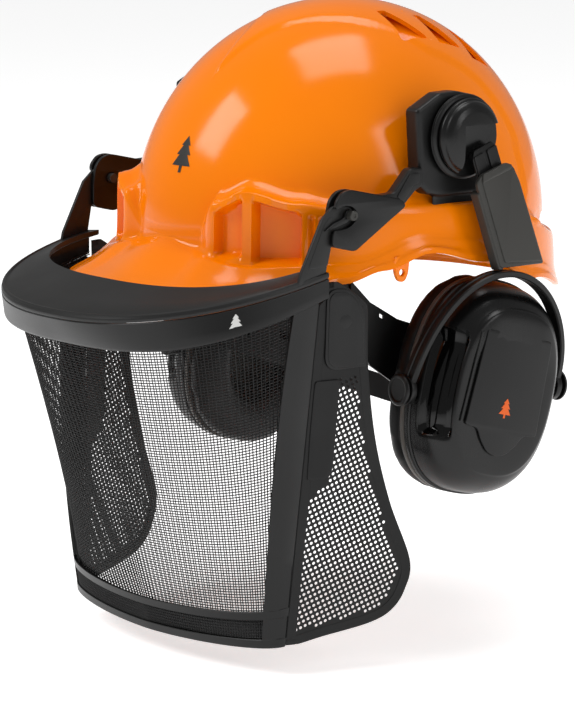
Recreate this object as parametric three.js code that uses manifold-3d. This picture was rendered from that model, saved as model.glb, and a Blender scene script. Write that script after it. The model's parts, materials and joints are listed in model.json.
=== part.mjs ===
// Forestry helmet: moulded shell, flip-up mesh visor and a pair of ear muffs.
// Millimetres, +Z up. The wearer faces -Y and the wearer's left is +X.
// The origin lies on the middle plane, under the crown, at the height of the brow.
import * as THREE from 'three';
import { mergeVertices } from 'three/addons/utils/BufferGeometryUtils.js';
import Module from 'manifold-3d';

const wasm = await Module();
wasm.setup();

// ---------------------------------------------------------------- driving dimensions
const GAP = 0.3;

// shell: half width, half length and height of the dome above its widest level
const DOME = { a: 103, b: 127, c: 126, level: 29 };
const SHELL_WALL = 2.6;
const SHELL_SECTIONS = 56;

// the shell's lower half by plan angle, 0 at the front and 180 at the back, as [angle, value]
const LEDGE_OUT = [[0, 0], [12, 0], [18, 9], [24, 12], [39, 12], [48, 9], [77, 7], [180, 8]];
const LEDGE_TOP = [[0, 36], [12, 37], [18, 53], [26, 60], [39, 54], [48, 51], [98, 49], [150, 20], [180, 20]];
const BRIM_TOP = [[0, 25], [12, 22], [28, 18], [54, 19], [74, 30], [88, 28], [120, 8], [150, -6], [180, -8]];
const RIM_OUT = [[0, 49], [17, 46], [28, 37], [39, 25], [51, 14], [62, 11], [180, 12]];
const RIM_LOW = [[0, -4], [30, 1], [51, 9], [62, 15], [76, 23], [96, 15], [120, 0], [150, -13], [180, -15]];

// accessory slot in each side ledge, and the lug for a chin strap
const SLOT = { x: 105.2, width: 2.6, front: -22, back: 10, depth: 16 };
const LUG = { y: -44, x: 103.5, hole: 1.9, thickness: 2.6 };

// visor: hinge line and the plan curves of its mouldings, lowered
const HINGE = { y: -86, z: 49 };
const GUARD_OUTER = { half: 110, back: -100, front: -207.7, zBack: 19.2, zFront: -4.2, n: 2.3 };
const GUARD_INNER = { half: 98, back: -100, front: -168, zBack: 20.5, zFront: 9.6, n: 2.6 };
const BAND_LOW = { half: 110, back: -100, front: -197, zBack: 4.8, zFront: -23.2, n: 2.8 };
const MESH_TOP = { half: 103.6, back: -103, front: -193, zBack: 8, zFront: -16, n: 2.6 };
const MESH_LOW = { half: 91.4, back: -117.7, front: -137, zBack: -188.6, zFront: -193.5, n: 1.7 };
const GUARD_THICK = 3.2;
const BAND_WALL = 2.4;
const MESH_WALL = 0.9;
const VISOR_STEPS = 24;

// visor frame: its two depths outside the mesh, where its lower band starts and how wide its strips are
const FRAME_OUT = [1.1, 3.1];
const FRAME_TOP = 0.885;
const STRIP_START = [83.5, 68];

// side wings: wall, top and bottom, and the rear outline as [depth below the origin, place along Y]
const WING_WALL = 1.3;
const WING_HIGH = 13;
const WING_LOW = -188;
const WING_EDGE = 0.5;
const WING_BEHIND_BAND = -99.6;
const WING_REAR = [[-13, -92], [-2, -76], [6, -73], [36, -72], [76, -67], [112, -58], [146, -46], [163, -49],
  [174, -57], [180, -70], [185, -96], [188, -110]];
const PATCH = { front: -99, high: 9, low: -40, wall: 1.2, corner: 9 };

// visor arms, the brackets that hold them, and their pins, as places along X on the left side
const ARM_X = [106.9, 109.1];
const PLATE_IN_X = [104.2, 106.5];
const PLATE_OUT_X = [109.5, 112];
const PIN_R = 2.7;

// ear muffs: the hub on the adapter, the sprung arm, and the cup
const HUB = { y: -4, z: 86, r: 21 };
const ADAPTER_X = [97, 108.5];
const RING_X = [108.9, 113.4];
const CAP_X = 113.8;
const ARM_TOP = new THREE.Vector3(123.5, 8.5, 64);
const ARM_LOW = new THREE.Vector3(126, 26.8, 11.5);
const ARM_THICK = 3.4;
const BAR_THICK = 2.4;
const CUP = { centre: new THREE.Vector3(108, 12.3, -57), toeIn: 3, lean: 15, halfWidth: 45, halfHeight: 60 };
const PLATE = { top: 30, mid: -16, foot: -30, topHalf: 25, midHalf: 26.5, footHalf: 13, low: 24.3, high: 26.2 };
const CUSHION_HOLE = [20, 34];
const YOKE_TILT = 4.7;
const YOKE = { reach: 53, rise: 66.3, bow: 16.5, across: 9, thick: 3.6, eye: 8.5 };

// harness: head band, nape strap and crown straps
const HEAD = { a: 77, b: 96, bandLow: -14, bandHigh: 16, bandEnd: 30, strap: 1.8 };
const SWEAT = { from: 33, to: 147, thick: 5, inset: 0.9 + GAP + 2.5 };
const CROWN = { foot: 31, high: 108, width: 18, strap: 1.2, gap: 0.4 };
const CLIP = { wide: 24, low: 20, thick: 4.4 };
const NAPE = { start: -50, x: 74.6, pinch: 5.2, drop: -82, back: 92 };
// the nape strap's middle height and half width at places along Y
const NAPE_LINE = [[-50, -8, 13], [-38, -26, 18], [-20, -38, 19], [0, -45, 19], [46, -62, 19], [92, -82, 19]];
const RATCHET = { y: NAPE.back + 1.2, z: NAPE.drop, wide: 66, deep: 13, high: 30, knob: 19, pinion: 7, shaft: 3 };
const TEETH = 12;
const LOBES = 12;

// ---------------------------------------------------------------- finishes
function finish(color, roughness) {
  return new THREE.MeshStandardMaterial({ color, roughness, metalness: 0 });
}

const ORANGE = finish('#f57c00', 0.25);
const GREY = finish('#4a4a48', 0.55);
const BLACK = finish('#1d1d1c', 0.4);
const NYLON = finish('#141414', 0.7);
const FOAM = finish('#8d8d8a', 0.95);
const WEBBING = finish('#262626', 0.9);
const CUSHION = finish('#171717', 0.5);

// ---------------------------------------------------------------- helpers
const helmet = new THREE.Group();

function add(name, geometry, material, parent = helmet) {
  const mesh = new THREE.Mesh(geometry, material);
  mesh.name = name;
  parent.add(mesh);
  return mesh;
}

const rad = THREE.MathUtils.degToRad;
const vec = (x, y, z) => new THREE.Vector3(x, y, z);

// value at an angle from a hand-made list of [angle, value], eased between neighbours
function eased(list, angle) {
  const at = Math.abs(angle);
  const next = Math.max(1, list.findIndex(([a]) => a >= at));
  const [a0, v0] = list[next - 1];
  const [a1, v1] = list[next];
  return THREE.MathUtils.lerp(v0, v1, THREE.MathUtils.smoothstep(at, a0, a1));
}

function signedVolume(position, index) {
  const corner = [vec(0, 0, 0), vec(0, 0, 0), vec(0, 0, 0)];
  let total = 0;
  for (let i = 0; i < index.length; i += 3) {
    corner.forEach((c, k) => c.fromArray(position, index[i + k] * 3));
    total += corner[0].dot(corner[1].cross(corner[2]));
  }
  return total / 6;
}

// welds points that coincide, drops flattened triangles and turns the faces outwards
function closedSurface(points, faces) {
  const seen = new Map();
  const position = [];
  const weld = points.map((p) => {
    const key = `${p.x.toFixed(4)},${p.y.toFixed(4)},${p.z.toFixed(4)}`;
    if (!seen.has(key)) {
      seen.set(key, position.length / 3);
      position.push(p.x, p.y, p.z);
    }
    return seen.get(key);
  });
  const kept = faces.map((f) => f.map((i) => weld[i])).filter(([a, b, c]) => a !== b && b !== c && c !== a);
  let index = kept.flat();
  if (signedVolume(position, index) < 0) index = kept.map(([a, b, c]) => [a, c, b]).flat();
  const geometry = new THREE.BufferGeometry();
  geometry.setAttribute('position', new THREE.Float32BufferAttribute(position, 3));
  geometry.setIndex(index);
  geometry.computeVertexNormals();
  return geometry;
}

// caps a ring of points, flattened on to the plane that it mostly lies in
function capFaces(ring, first) {
  const normal = vec(0, 0, 0);
  ring.forEach((p, i) => normal.add(p.clone().cross(ring[(i + 1) % ring.length])));
  const size = [Math.abs(normal.x), Math.abs(normal.y), Math.abs(normal.z)];
  const drop = size.indexOf(Math.max(...size));
  const flat = ring.map((p) => {
    const c = p.toArray();
    c.splice(drop, 1);
    return new THREE.Vector2(...c);
  });
  return THREE.ShapeUtils.triangulateShape(flat, []).map((f) => f.map((i) => i + first));
}

// skins rows of points into one closed body; each row is a ring unless it runs from pole to pole
function skin(rows, { loop = false, poles = false } = {}) {
  const width = rows[0].length;
  const points = rows.flat();
  const faces = [];
  const rowCount = loop ? rows.length : rows.length - 1;
  const columns = poles ? width - 1 : width;
  for (let i = 0; i < rowCount; i += 1) {
    const here = i * width;
    const there = ((i + 1) % rows.length) * width;
    for (let j = 0; j < columns; j += 1) {
      const k = (j + 1) % width;
      faces.push([here + j, here + k, there + k], [here + j, there + k, there + j]);
    }
  }
  if (!loop) {
    capFaces(rows[0], 0).forEach((f) => faces.push([f[0], f[2], f[1]]));
    capFaces(rows.at(-1), points.length - width).forEach((f) => faces.push(f));
  }
  return orient(closedSurface(points, faces));
}

// makes every face agree with its neighbours before the solid is used
function orient(geometry) {
  const index = Array.from(geometry.index.array);
  const edges = new Map();
  for (let f = 0; f < index.length / 3; f += 1) {
    for (let k = 0; k < 3; k += 1) {
      const a = index[f * 3 + k];
      const b = index[f * 3 + (k + 1) % 3];
      const key = a < b ? `${a}_${b}` : `${b}_${a}`;
      if (!edges.has(key)) edges.set(key, []);
      edges.get(key).push([f, a < b]);
    }
  }
  const faceEdges = Array.from({ length: index.length / 3 }, () => []);
  edges.forEach((uses) => uses.forEach(([f]) => faceEdges[f].push(uses)));
  const turned = new Array(faceEdges.length).fill(null);
  turned[0] = false;
  const queue = [0];
  while (queue.length) {
    const f = queue.pop();
    faceEdges[f].forEach((uses) => {
      const mine = uses.find(([g]) => g === f);
      uses.forEach(([g, along]) => {
        if (g === f || turned[g] !== null) return;
        turned[g] = along === mine[1] ? !turned[f] : turned[f];
        queue.push(g);
      });
    });
  }
  turned.forEach((flip, f) => {
    if (flip) [index[f * 3 + 1], index[f * 3 + 2]] = [index[f * 3 + 2], index[f * 3 + 1]];
  });
  if (signedVolume(geometry.attributes.position.array, index) < 0) {
    for (let i = 0; i < index.length; i += 3) [index[i + 1], index[i + 2]] = [index[i + 2], index[i + 1]];
  }
  geometry.setIndex(index);
  return geometry;
}

function toSolid(source) {
  let geometry = source.clone();
  geometry.deleteAttribute('normal');
  geometry.deleteAttribute('uv');
  geometry = mergeVertices(geometry, 1e-4);
  const vertProperties = new Float32Array(geometry.attributes.position.array);
  const triVerts = new Uint32Array(geometry.index.array);
  return new wasm.Manifold(new wasm.Mesh({ numProp: 3, vertProperties, triVerts }));
}

function fromSolid(solid) {
  const { vertProperties, triVerts } = solid.getMesh();
  const geometry = new THREE.BufferGeometry();
  geometry.setAttribute('position', new THREE.Float32BufferAttribute(vertProperties, 3));
  geometry.setIndex(Array.from(triVerts));
  geometry.computeVertexNormals();
  return geometry;
}

const join = (...parts) => fromSolid(parts.map(toSolid).reduce((a, b) => a.add(b)));
const cut = (body, ...tools) => fromSolid(tools.map(toSolid).reduce((a, b) => a.subtract(b), toSolid(body)));

function mirrored(geometry) {
  const copy = geometry.index ? geometry.clone() : mergeVertices(geometry);
  copy.scale(-1, 1, 1);
  const index = Array.from(copy.index.array);
  for (let i = 0; i < index.length; i += 3) [index[i + 1], index[i + 2]] = [index[i + 2], index[i + 1]];
  copy.setIndex(index);
  copy.computeVertexNormals();
  return copy;
}

// a left piece and its mirror image on the wearer's right
function addPair(name, geometry, material) {
  add(`${name}_left`, geometry, material);
  add(`${name}_right`, mirrored(geometry), material);
}

const box = (size, centre) => new THREE.BoxGeometry(...size).translate(...centre);

// a closed outline in the side view, given as [y, z], made solid between two places along X
function sidePlate(outline, [low, high], holes = [], bevel = 0) {
  const shape = new THREE.Shape(outline.map(([y, z]) => new THREE.Vector2(y, z)));
  holes.forEach(([y, z, r]) => shape.holes.push(new THREE.Path().absarc(y, z, r, 0, Math.PI * 2)));
  const options = {
    depth: high - low - 2 * bevel,
    bevelEnabled: bevel > 0,
    bevelThickness: bevel,
    bevelSize: bevel,
    bevelOffset: -bevel,
    bevelSegments: 1,
    curveSegments: 10,
  };
  const plate = new THREE.ExtrudeGeometry(shape, options).translate(0, 0, low + bevel);
  const turn = new THREE.Matrix4().set(0, 0, 1, 0, 1, 0, 0, 0, 0, 1, 0, 0, 0, 0, 0, 1);
  return plate.applyMatrix4(turn);
}

// a round bar along X
function sideRound(radius, [low, high], y, z, sides = 24) {
  const bar = new THREE.CylinderGeometry(radius, radius, high - low, sides);
  return bar.rotateZ(Math.PI / 2).translate((low + high) / 2, y, z);
}

// a turned piece about X from [x, radius] steps; its profile starts and ends on the axis
function sideTurned(profile, y, z, sides = 24) {
  const points = profile.map(([x, r]) => new THREE.Vector2(r, x));
  const turned = new THREE.LatheGeometry(points, sides);
  return turned.rotateZ(-Math.PI / 2).translate(0, y, z);
}

// ---------------------------------------------------------------- shell
const planRadius = (angle) => 1 / Math.hypot(Math.sin(rad(angle)) / DOME.a, Math.cos(rad(angle)) / DOME.b);

function domeRadius(angle, z) {
  const rise = Math.max(0, z - DOME.level) / DOME.c;
  return planRadius(angle) * Math.sqrt(Math.max(0, 1 - rise * rise));
}

// outer profile at a plan angle, from the crown down to the rim, as [radius, z]
function shellProfile(angle) {
  const ledge = eased(LEDGE_TOP, angle);
  const out = eased(LEDGE_OUT, angle);
  const brim = eased(BRIM_TOP, angle);
  const rimOut = planRadius(angle) + eased(RIM_OUT, angle);
  const rimLow = eased(RIM_LOW, angle);
  const wall = domeRadius(angle, ledge) + out;
  const profile = [];
  const last = Math.acos((ledge + 4 - DOME.level) / DOME.c);
  for (let k = 0; k <= 7; k += 1) {
    const z = DOME.level + DOME.c * Math.cos((last * k) / 7);
    profile.push([k === 0 ? 0 : domeRadius(angle, z), z]);
  }
  profile.push([domeRadius(angle, ledge) + 0.35 * out, ledge + 0.5]);
  profile.push([wall - 0.15 * out, ledge - 1]);
  profile.push([wall + 0.4, ledge - 5]);
  const foot = Math.max(wall + 1.5, planRadius(angle) + 0.5);
  profile.push([foot, brim + 4]);
  const reach = rimOut - foot;
  profile.push([foot + 0.12 * reach + 0.6, brim]);
  profile.push([foot + 0.5 * reach, THREE.MathUtils.lerp(brim - 1.5, rimLow + 3, 0.45)]);
  profile.push([rimOut - 0.5, rimLow + 3]);
  profile.push([rimOut, rimLow]);
  return profile;
}

// the same profile moved inwards by the wall thickness
function innerProfile(outer) {
  return outer.map(([r, z], i) => {
    const before = outer[Math.max(0, i - 1)];
    const after = outer[Math.min(outer.length - 1, i + 1)];
    const along = new THREE.Vector2(after[0] - before[0], after[1] - before[1]).normalize();
    if (i === 0) return [0, z - SHELL_WALL];
    return [Math.max(0, r + along.y * SHELL_WALL), z - along.x * SHELL_WALL];
  });
}

function shell() {
  const rows = [];
  for (let i = 0; i < SHELL_SECTIONS; i += 1) {
    const angle = (360 * i) / SHELL_SECTIONS;
    const outer = shellProfile(angle > 180 ? 360 - angle : angle);
    const ring = [...outer, ...innerProfile(outer).reverse()];
    rows.push(ring.map(([r, z]) => vec(r * Math.sin(rad(angle)), -r * Math.cos(rad(angle)), z)));
  }
  const slotCentre = (SLOT.front + SLOT.back) / 2;
  const slots = [-1, 1].map((side) => {
    const size = [SLOT.width, SLOT.back - SLOT.front, SLOT.depth];
    return box(size, [side * SLOT.x, slotCentre, 46]);
  });
  const lugEar = [[LUG.y - 6, 20], [LUG.y - 3.5, 12], [LUG.y, 8], [LUG.y + 3.5, 12], [LUG.y + 6, 22]];
  const lug = sidePlate(lugEar, [LUG.x, LUG.x + LUG.thickness], [[LUG.y, 13.5, LUG.hole]]);
  return cut(join(skin(rows, { loop: true, poles: true }), lug, mirrored(lug)), ...slots);
}

add('shell', shell(), ORANGE);

// ---------------------------------------------------------------- visor
// a point on a moulding's plan curve, t from -90 at the right end to 90 at the left end
function planPoint(curve, t) {
  const s = Math.sin(rad(t));
  const deep = Math.max(0, Math.cos(rad(t))) ** (2 / curve.n);
  const x = curve.half * Math.sign(s) * Math.abs(s) ** (2 / curve.n);
  const mix = THREE.MathUtils.lerp;
  return vec(x, mix(curve.back, curve.front, deep), mix(curve.zBack, curve.zFront, deep));
}

// outward direction of a curve that runs from the right end to the left end, level
function levelNormal(place, t) {
  const step = 0.5;
  const along = place(Math.min(90, t + step)).sub(place(Math.max(-90, t - step)));
  return vec(along.y, -along.x, 0).normalize();
}

function planNormal(curve, t) {
  return levelNormal((at) => planPoint(curve, at), t);
}

// sections at even steps along a piece
function stations(from, to, steps, section) {
  const rows = [];
  for (let i = 0; i <= steps; i += 1) rows.push(section(from + ((to - from) * i) / steps));
  return rows;
}

// a place on the visor's mesh, v from 0 at the band to 1 at the lower edge, and out from its face
function visorPoint(t, v, out) {
  const place = (at) => planPoint(MESH_TOP, at).lerp(planPoint(MESH_LOW, at), v);
  return place(t).addScaledVector(levelNormal(place, t), out);
}

// a wall on the mesh surface between two heights and two depths
const wallRing = (t, v0, v1, out0, out1) => [
  visorPoint(t, v0, out1),
  visorPoint(t, v1, out1),
  visorPoint(t, v1, out0),
  visorPoint(t, v0, out0),
];

const guard = skin(stations(-90, 90, VISOR_STEPS, (t) => {
  const inner = planPoint(GUARD_INNER, t);
  const outer = planPoint(GUARD_OUTER, t);
  const lip = outer.clone().lerp(inner, 0.12);
  const down = vec(0, 0, -GUARD_THICK);
  const edge = outer.clone().add(vec(0, 0, -0.6));
  return [inner, lip, edge, outer.clone().add(down), inner.clone().add(down)];
}));
add('brow_guard', guard, GREY);

const band = skin(stations(-90, 90, VISOR_STEPS, (t) => {
  const top = planPoint(GUARD_OUTER, t).add(vec(0, 0, -GUARD_THICK - GAP));
  const low = planPoint(BAND_LOW, t);
  const inTop = top.clone().addScaledVector(planNormal(GUARD_OUTER, t), -BAND_WALL);
  const inLow = low.clone().addScaledVector(planNormal(BAND_LOW, t), -BAND_WALL);
  return [top, low, inLow, inTop];
}));
add('visor_band', band, BLACK);

const sheetSteps = [0, 0.25, 0.5, 0.75, 1];
const meshSheet = skin(stations(-90, 90, VISOR_STEPS, (t) => [
  ...sheetSteps.map((v) => visorPoint(t, v, 0)),
  ...sheetSteps.toReversed().map((v) => visorPoint(t, v, -MESH_WALL)),
]));
add('mesh_screen', meshSheet, NYLON);

const frameBand = skin(stations(-90, 90, VISOR_STEPS, (t) => wallRing(t, FRAME_TOP, 1, ...FRAME_OUT)));
const frameStrip = (side) => skin([0.02, 0.25, 0.5, 0.75, 0.99].map((v) => {
  const start = THREE.MathUtils.lerp(STRIP_START[0], STRIP_START[1], v);
  const across = stations(side * start, side * 90, 4, (t) => visorPoint(t, v, FRAME_OUT[1]));
  return [...across, ...stations(side * 90, side * start, 4, (t) => visorPoint(t, v, FRAME_OUT[0]))];
}));
add('visor_frame', join(frameBand, frameStrip(1), frameStrip(-1)), BLACK);

// side wings: a row at each height, from the frame back to the wing's own outline

const wingShare = (z) => THREE.MathUtils.clamp((MESH_TOP.zBack - z) / (MESH_TOP.zBack - MESH_LOW.zBack), 0, 1);
const frameEdge = (z) => THREE.MathUtils.lerp(MESH_TOP.back, MESH_LOW.back, wingShare(z));

function wingPlace(y, z, out) {
  const v = wingShare(z);
  const front = THREE.MathUtils.lerp(MESH_TOP.half, MESH_LOW.half, v) + FRAME_OUT[0] + out;
  const slope = THREE.MathUtils.lerp(0.18, 0.32, v);
  return vec(front + slope * (y - frameEdge(z)), y, z);
}

function wingRear(z) {
  const next = WING_REAR.findIndex(([depth]) => depth >= -z);
  const [d0, y0] = WING_REAR[Math.max(0, next - 1)];
  const [d1, y1] = WING_REAR[Math.max(1, next)];
  return THREE.MathUtils.mapLinear(-z, d0, d1, y0, y1);
}

const wingRing = (z, front, rear, out0, out1) => [
  wingPlace(front, z, out1),
  wingPlace(rear, z, out1),
  wingPlace(rear, z, out0),
  wingPlace(front, z, out0),
];

const wingHeights = [WING_HIGH, 8, 2, 1.8, -6, -36, -76, -112, -146, -163, -174, -180, -185, WING_LOW];
const wing = skin(wingHeights.map((z) => {
  const front = z >= 2 ? WING_BEHIND_BAND : frameEdge(z) + WING_EDGE;
  return wingRing(z, front, wingRear(z), 0, WING_WALL);
}));
addPair('side_wing', wing, BLACK);

const patchOut = WING_WALL + GAP;
const patch = skin([PATCH.high, 2, -8, -20, PATCH.low + PATCH.corner, PATCH.low + 3, PATCH.low].map((z) => {
  const sink = Math.max(0, PATCH.low + PATCH.corner - z) / PATCH.corner;
  const front = PATCH.front + (1 - Math.sqrt(1 - sink * sink)) * PATCH.corner;
  return wingRing(z, front, wingRear(z) - 2.5, patchOut, patchOut + PATCH.wall);
}));
addPair('wing_patch', patch, BLACK);

// the arms that carry the visor on its hinge line
const eye = (radius, from, to, steps) => Array.from({ length: steps + 1 }, (_, i) => {
  const angle = rad(from + ((to - from) * i) / steps);
  return [HINGE.y + radius * Math.cos(angle), HINGE.z + radius * Math.sin(angle)];
});
const armOutline = [...eye(8, 300, 480, 9), [-97, 54], [-104, 48], [-119, 19.3], [-101, 19.9], [-98.5, 33]];
const armHole = [[HINGE.y, HINGE.z, PIN_R + GAP]];
addPair('visor_arm', sidePlate(armOutline, ARM_X, armHole), GREY);
addPair('visor_pivot_pin', sideRound(PIN_R, [PLATE_IN_X[0] - 1, PLATE_OUT_X[1] + 1], HINGE.y, HINGE.z), BLACK);

// two-plate bracket and the strut that carries it on the adapter
const plateOutline = [[-99, 33], [-99, 46], [-97, 57], [-92, 62], [-86, 63], [-50, 55], [-46, 51], [-58, 44],
  [-83, 29]];
const strutOutline = [[-66, 40], [-66, 58], [-55, 58.5], [-43, 71], [-34.5, 71], [-34.5, 60.5], [-39, 59],
  [-48, 51], [-58, 44]];
const bracket = join(
  sidePlate(plateOutline, PLATE_IN_X, armHole),
  sidePlate(plateOutline, PLATE_OUT_X, armHole),
  sidePlate(strutOutline, [PLATE_IN_X[0] + 0.8, PLATE_OUT_X[1] - 0.6]),
);
addPair('hinge_bracket', bracket, BLACK);

// ---------------------------------------------------------------- ear muffs
const adapterOutline = [[-35.5, 102], [-33.5, 72], [-33, 60], [-27, 55], [-18, 53.6], [12, 53.6], [19, 60],
  [22, 86], [18, 100], [8, 108], [-6, 111], [-19, 110.5]];
const domeTool = new THREE.SphereGeometry(1, 40, 28).rotateX(Math.PI / 2)
  .scale(DOME.a + 0.7, DOME.b + 0.7, DOME.c + 0.7).translate(0, 0, DOME.level);
const tangSize = [SLOT.width - 2 * GAP, SLOT.back - SLOT.front - 2 * GAP, 17];
const tang = box(tangSize, [SLOT.x, (SLOT.front + SLOT.back) / 2, 49]);
const adapter = join(cut(sidePlate(adapterOutline, ADAPTER_X, [], 1), domeTool), tang);
addPair('adapter', adapter, BLACK);

const ringProfile = [[0, 0], [0, 20], [1.2, 23.5], [3.4, 23.5], [4.5, 22], [4.5, 0]];
addPair('hub_ring', sideTurned(ringProfile.map(([x, r]) => [x + RING_X[0], r]), HUB.y, HUB.z), BLACK);

const capProfile = [[0, 0], [0, HUB.r], [3, HUB.r + 0.6], [6, 18.5], [8.4, 13], [9.4, 6], [9.6, 0]];
const cap = sideTurned(capProfile.map(([x, r]) => [x + CAP_X, r]), HUB.y, HUB.z);
const capWindow = box([10, 29, 25], [122.4, HUB.y + 8.5, 74.5]);
addPair('hub_cap', cut(cap, capWindow), BLACK);

// the arm's own directions: down the arm, across it, and out from the head
const armDown = ARM_LOW.clone().sub(ARM_TOP).normalize();
const armAcross = vec(0, 1, 0).addScaledVector(armDown, -armDown.y).normalize();
const armUp = armDown.clone().negate();
const armOut = armAcross.clone().cross(armUp);
const armFrame = new THREE.Matrix4().makeBasis(armAcross, armUp, armOut).setPosition(ARM_TOP);
const ARM_LENGTH = ARM_TOP.distanceTo(ARM_LOW);

// a flat bevelled strip in the arm's directions, from [across, up] points
function armPlate(points, low, high, bevel) {
  const shape = new THREE.Shape(points.map(([x, y]) => new THREE.Vector2(x, y)));
  const options = {
    depth: high - low - 2 * bevel,
    bevelThickness: bevel,
    bevelSize: bevel,
    bevelOffset: -bevel,
    bevelSegments: 1,
  };
  const plate = new THREE.ExtrudeGeometry(shape, options).translate(0, 0, low + bevel);
  return plate.applyMatrix4(armFrame);
}

const barOutline = [[-9.5, -38], [9.5, -38], [9.5, 14], [7, 18], [-7, 18], [-9.5, 14]];
const barTop = -ARM_THICK / 2 - GAP;
addPair('slide_bar', armPlate(barOutline, barTop - BAR_THICK, barTop, 0.5), BLACK);
const muffArmOutline = [[-14, 2], [-15, 6.5 - ARM_LENGTH], [16, -4.5 - ARM_LENGTH], [14.5, -8], [11, 1],
  [4, 3], [-10, 3]];
addPair('muff_arm', armPlate(muffArmOutline, -ARM_THICK / 2, ARM_THICK / 2, 0.7), BLACK);

// frames of the yoke and of the cup, which leans in it
const turnX = (angle) => new THREE.Matrix4().makeRotationX(rad(angle));
const muffFrame = new THREE.Matrix4().makeRotationZ(rad(-CUP.toeIn)).setPosition(CUP.centre);
const yokeFrame = muffFrame.clone().multiply(turnX(-YOKE_TILT));
const cupFrame = muffFrame.clone().multiply(turnX(-CUP.lean));

const yokeRows = Array.from({ length: 21 }, (_, i) => {
  const angle = (Math.PI * i) / 20;
  const lift = Math.sin(angle);
  const bow = YOKE.bow * lift ** 0.7;
  const corner = (dr, dx) => vec(bow + dx, (YOKE.reach + dr) * Math.cos(angle), (YOKE.rise + dr) * lift);
  const [r, x] = [YOKE.thick / 2, YOKE.across / 2];
  return [corner(r, -x), corner(r, x), corner(-r, x), corner(-r, -x)];
});
const alongY = (profile, sides = 20) => {
  const points = profile.map(([y, r]) => new THREE.Vector2(r, y));
  return new THREE.LatheGeometry(points, sides);
};
const half = YOKE.thick / 2;
const eyeDisc = [[-half, 0], [-half, YOKE.eye], [half, YOKE.eye], [half, 0]];
const eyeHole = [[-5, 0], [-5, 5.5], [5, 5.5], [5, 0]];
const atEyes = (profile) => [-1, 1].map((side) => alongY(profile).translate(0, side * YOKE.reach, 0));
const yoke = cut(join(skin(yokeRows), ...atEyes(eyeDisc)), ...atEyes(eyeHole));
addPair('yoke', yoke.applyMatrix4(yokeFrame), BLACK);

const knobProfile = [[50, 0], [50, 5.2], [55.4, 5.2], [55.4, 9], [58, 9], [58.6, 7.8], [58.6, 0]];
const knob = alongY(knobProfile);
addPair('pivot_knob_rear', knob.clone().applyMatrix4(yokeFrame), BLACK);
addPair('pivot_knob_front', knob.clone().rotateZ(Math.PI).applyMatrix4(yokeFrame), BLACK);

// an oval ring of points across the cup at a place along its depth
function oval(depth, wide, high, n = 2.5, steps = 30) {
  return Array.from({ length: steps }, (_, i) => {
    const angle = (2 * Math.PI * i) / steps;
    const [c, s] = [Math.cos(angle), Math.sin(angle)];
    const [y, z] = [c, s].map((share) => Math.sign(share) * Math.abs(share) ** (2 / n));
    return vec(depth, wide * y, high * z);
  });
}

const [cw, ch] = [CUP.halfWidth, CUP.halfHeight];
// depth of each ring, and how far it lies inside the cup's half width and half height
const cupOuter = [[24, -12.5, -16], [22.4, -10, -12.5], [17, -5, -6.5], [9, -1.5, -2], [1, 0, 0], [-4, 0, 0],
  [-6, -0.5, -0.5]];
const cupInner = [[-6, -4, -4], [6, -5, -5], [14, -9, -10.5], [20.5, -14, -18]];
const cupRows = [...cupOuter, ...cupInner].map(([x, w, h]) => oval(x, cw + w, ch + h));
addPair('cup_shell', skin(cupRows).applyMatrix4(cupFrame), BLACK);

const plateShape = new THREE.Shape();
plateShape.moveTo(-PLATE.topHalf, PLATE.top);
plateShape.quadraticCurveTo(0, PLATE.top + 2.5, PLATE.topHalf, PLATE.top);
plateShape.lineTo(PLATE.midHalf, PLATE.mid);
plateShape.quadraticCurveTo(PLATE.footHalf + 3, PLATE.mid, PLATE.footHalf, PLATE.mid - 6);
plateShape.quadraticCurveTo(0, PLATE.foot - 8, -PLATE.footHalf, PLATE.mid - 6);
plateShape.quadraticCurveTo(-PLATE.footHalf - 3, PLATE.mid, -PLATE.midHalf, PLATE.mid);
const plateOptions = { depth: PLATE.high - PLATE.low, bevelEnabled: false, curveSegments: 6 };
const toSide = new THREE.Matrix4().set(0, 0, 1, 0, 1, 0, 0, 0, 0, 1, 0, 0, 0, 0, 0, 1);
const facePlate = new THREE.ExtrudeGeometry(plateShape, plateOptions).translate(0, 0, PLATE.low);
addPair('cup_face_plate', facePlate.applyMatrix4(toSide).applyMatrix4(cupFrame), BLACK);

const ovalRing = (sections) => skin(sections.map(([x, w, h]) => oval(x, w, h)), { loop: true });
const rimSection = [[-6.3, cw + 1.5, ch + 1.5], [-9.4, cw + 1.5, ch + 1.5], [-9.4, 24, 38], [-6.3, 24, 38]];
addPair('cushion_plate', ovalRing(rimSection).applyMatrix4(cupFrame), GREY);

const cushionSection = [[-9.8, cw, ch], [-13, cw + 2.5, ch + 2], [-18, cw + 2.5, ch + 2], [-23, cw - 1, ch - 1.5],
  [-25, cw - 8, ch - 9], [-24, 25, 40], [-20, CUSHION_HOLE[0], CUSHION_HOLE[1]], [-9.8, 21, 35]];
addPair('ear_cushion', ovalRing(cushionSection).applyMatrix4(cupFrame), CUSHION);
addPair('foam_liner', skin([oval(4, 33, 49), oval(12, 31, 46)]).applyMatrix4(cupFrame), FOAM);

// ---------------------------------------------------------------- harness
const midBand = (HEAD.bandLow + HEAD.bandHigh) / 2;
const bandHalf = (HEAD.bandHigh - HEAD.bandLow) / 2;
const strapRing = (p, out, low, high, thick) => [
  p.clone().addScaledVector(out, thick / 2).add(vec(0, 0, high)),
  p.clone().addScaledVector(out, thick / 2).add(vec(0, 0, low)),
  p.clone().addScaledVector(out, -thick / 2).add(vec(0, 0, low)),
  p.clone().addScaledVector(out, -thick / 2).add(vec(0, 0, high)),
];

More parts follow.
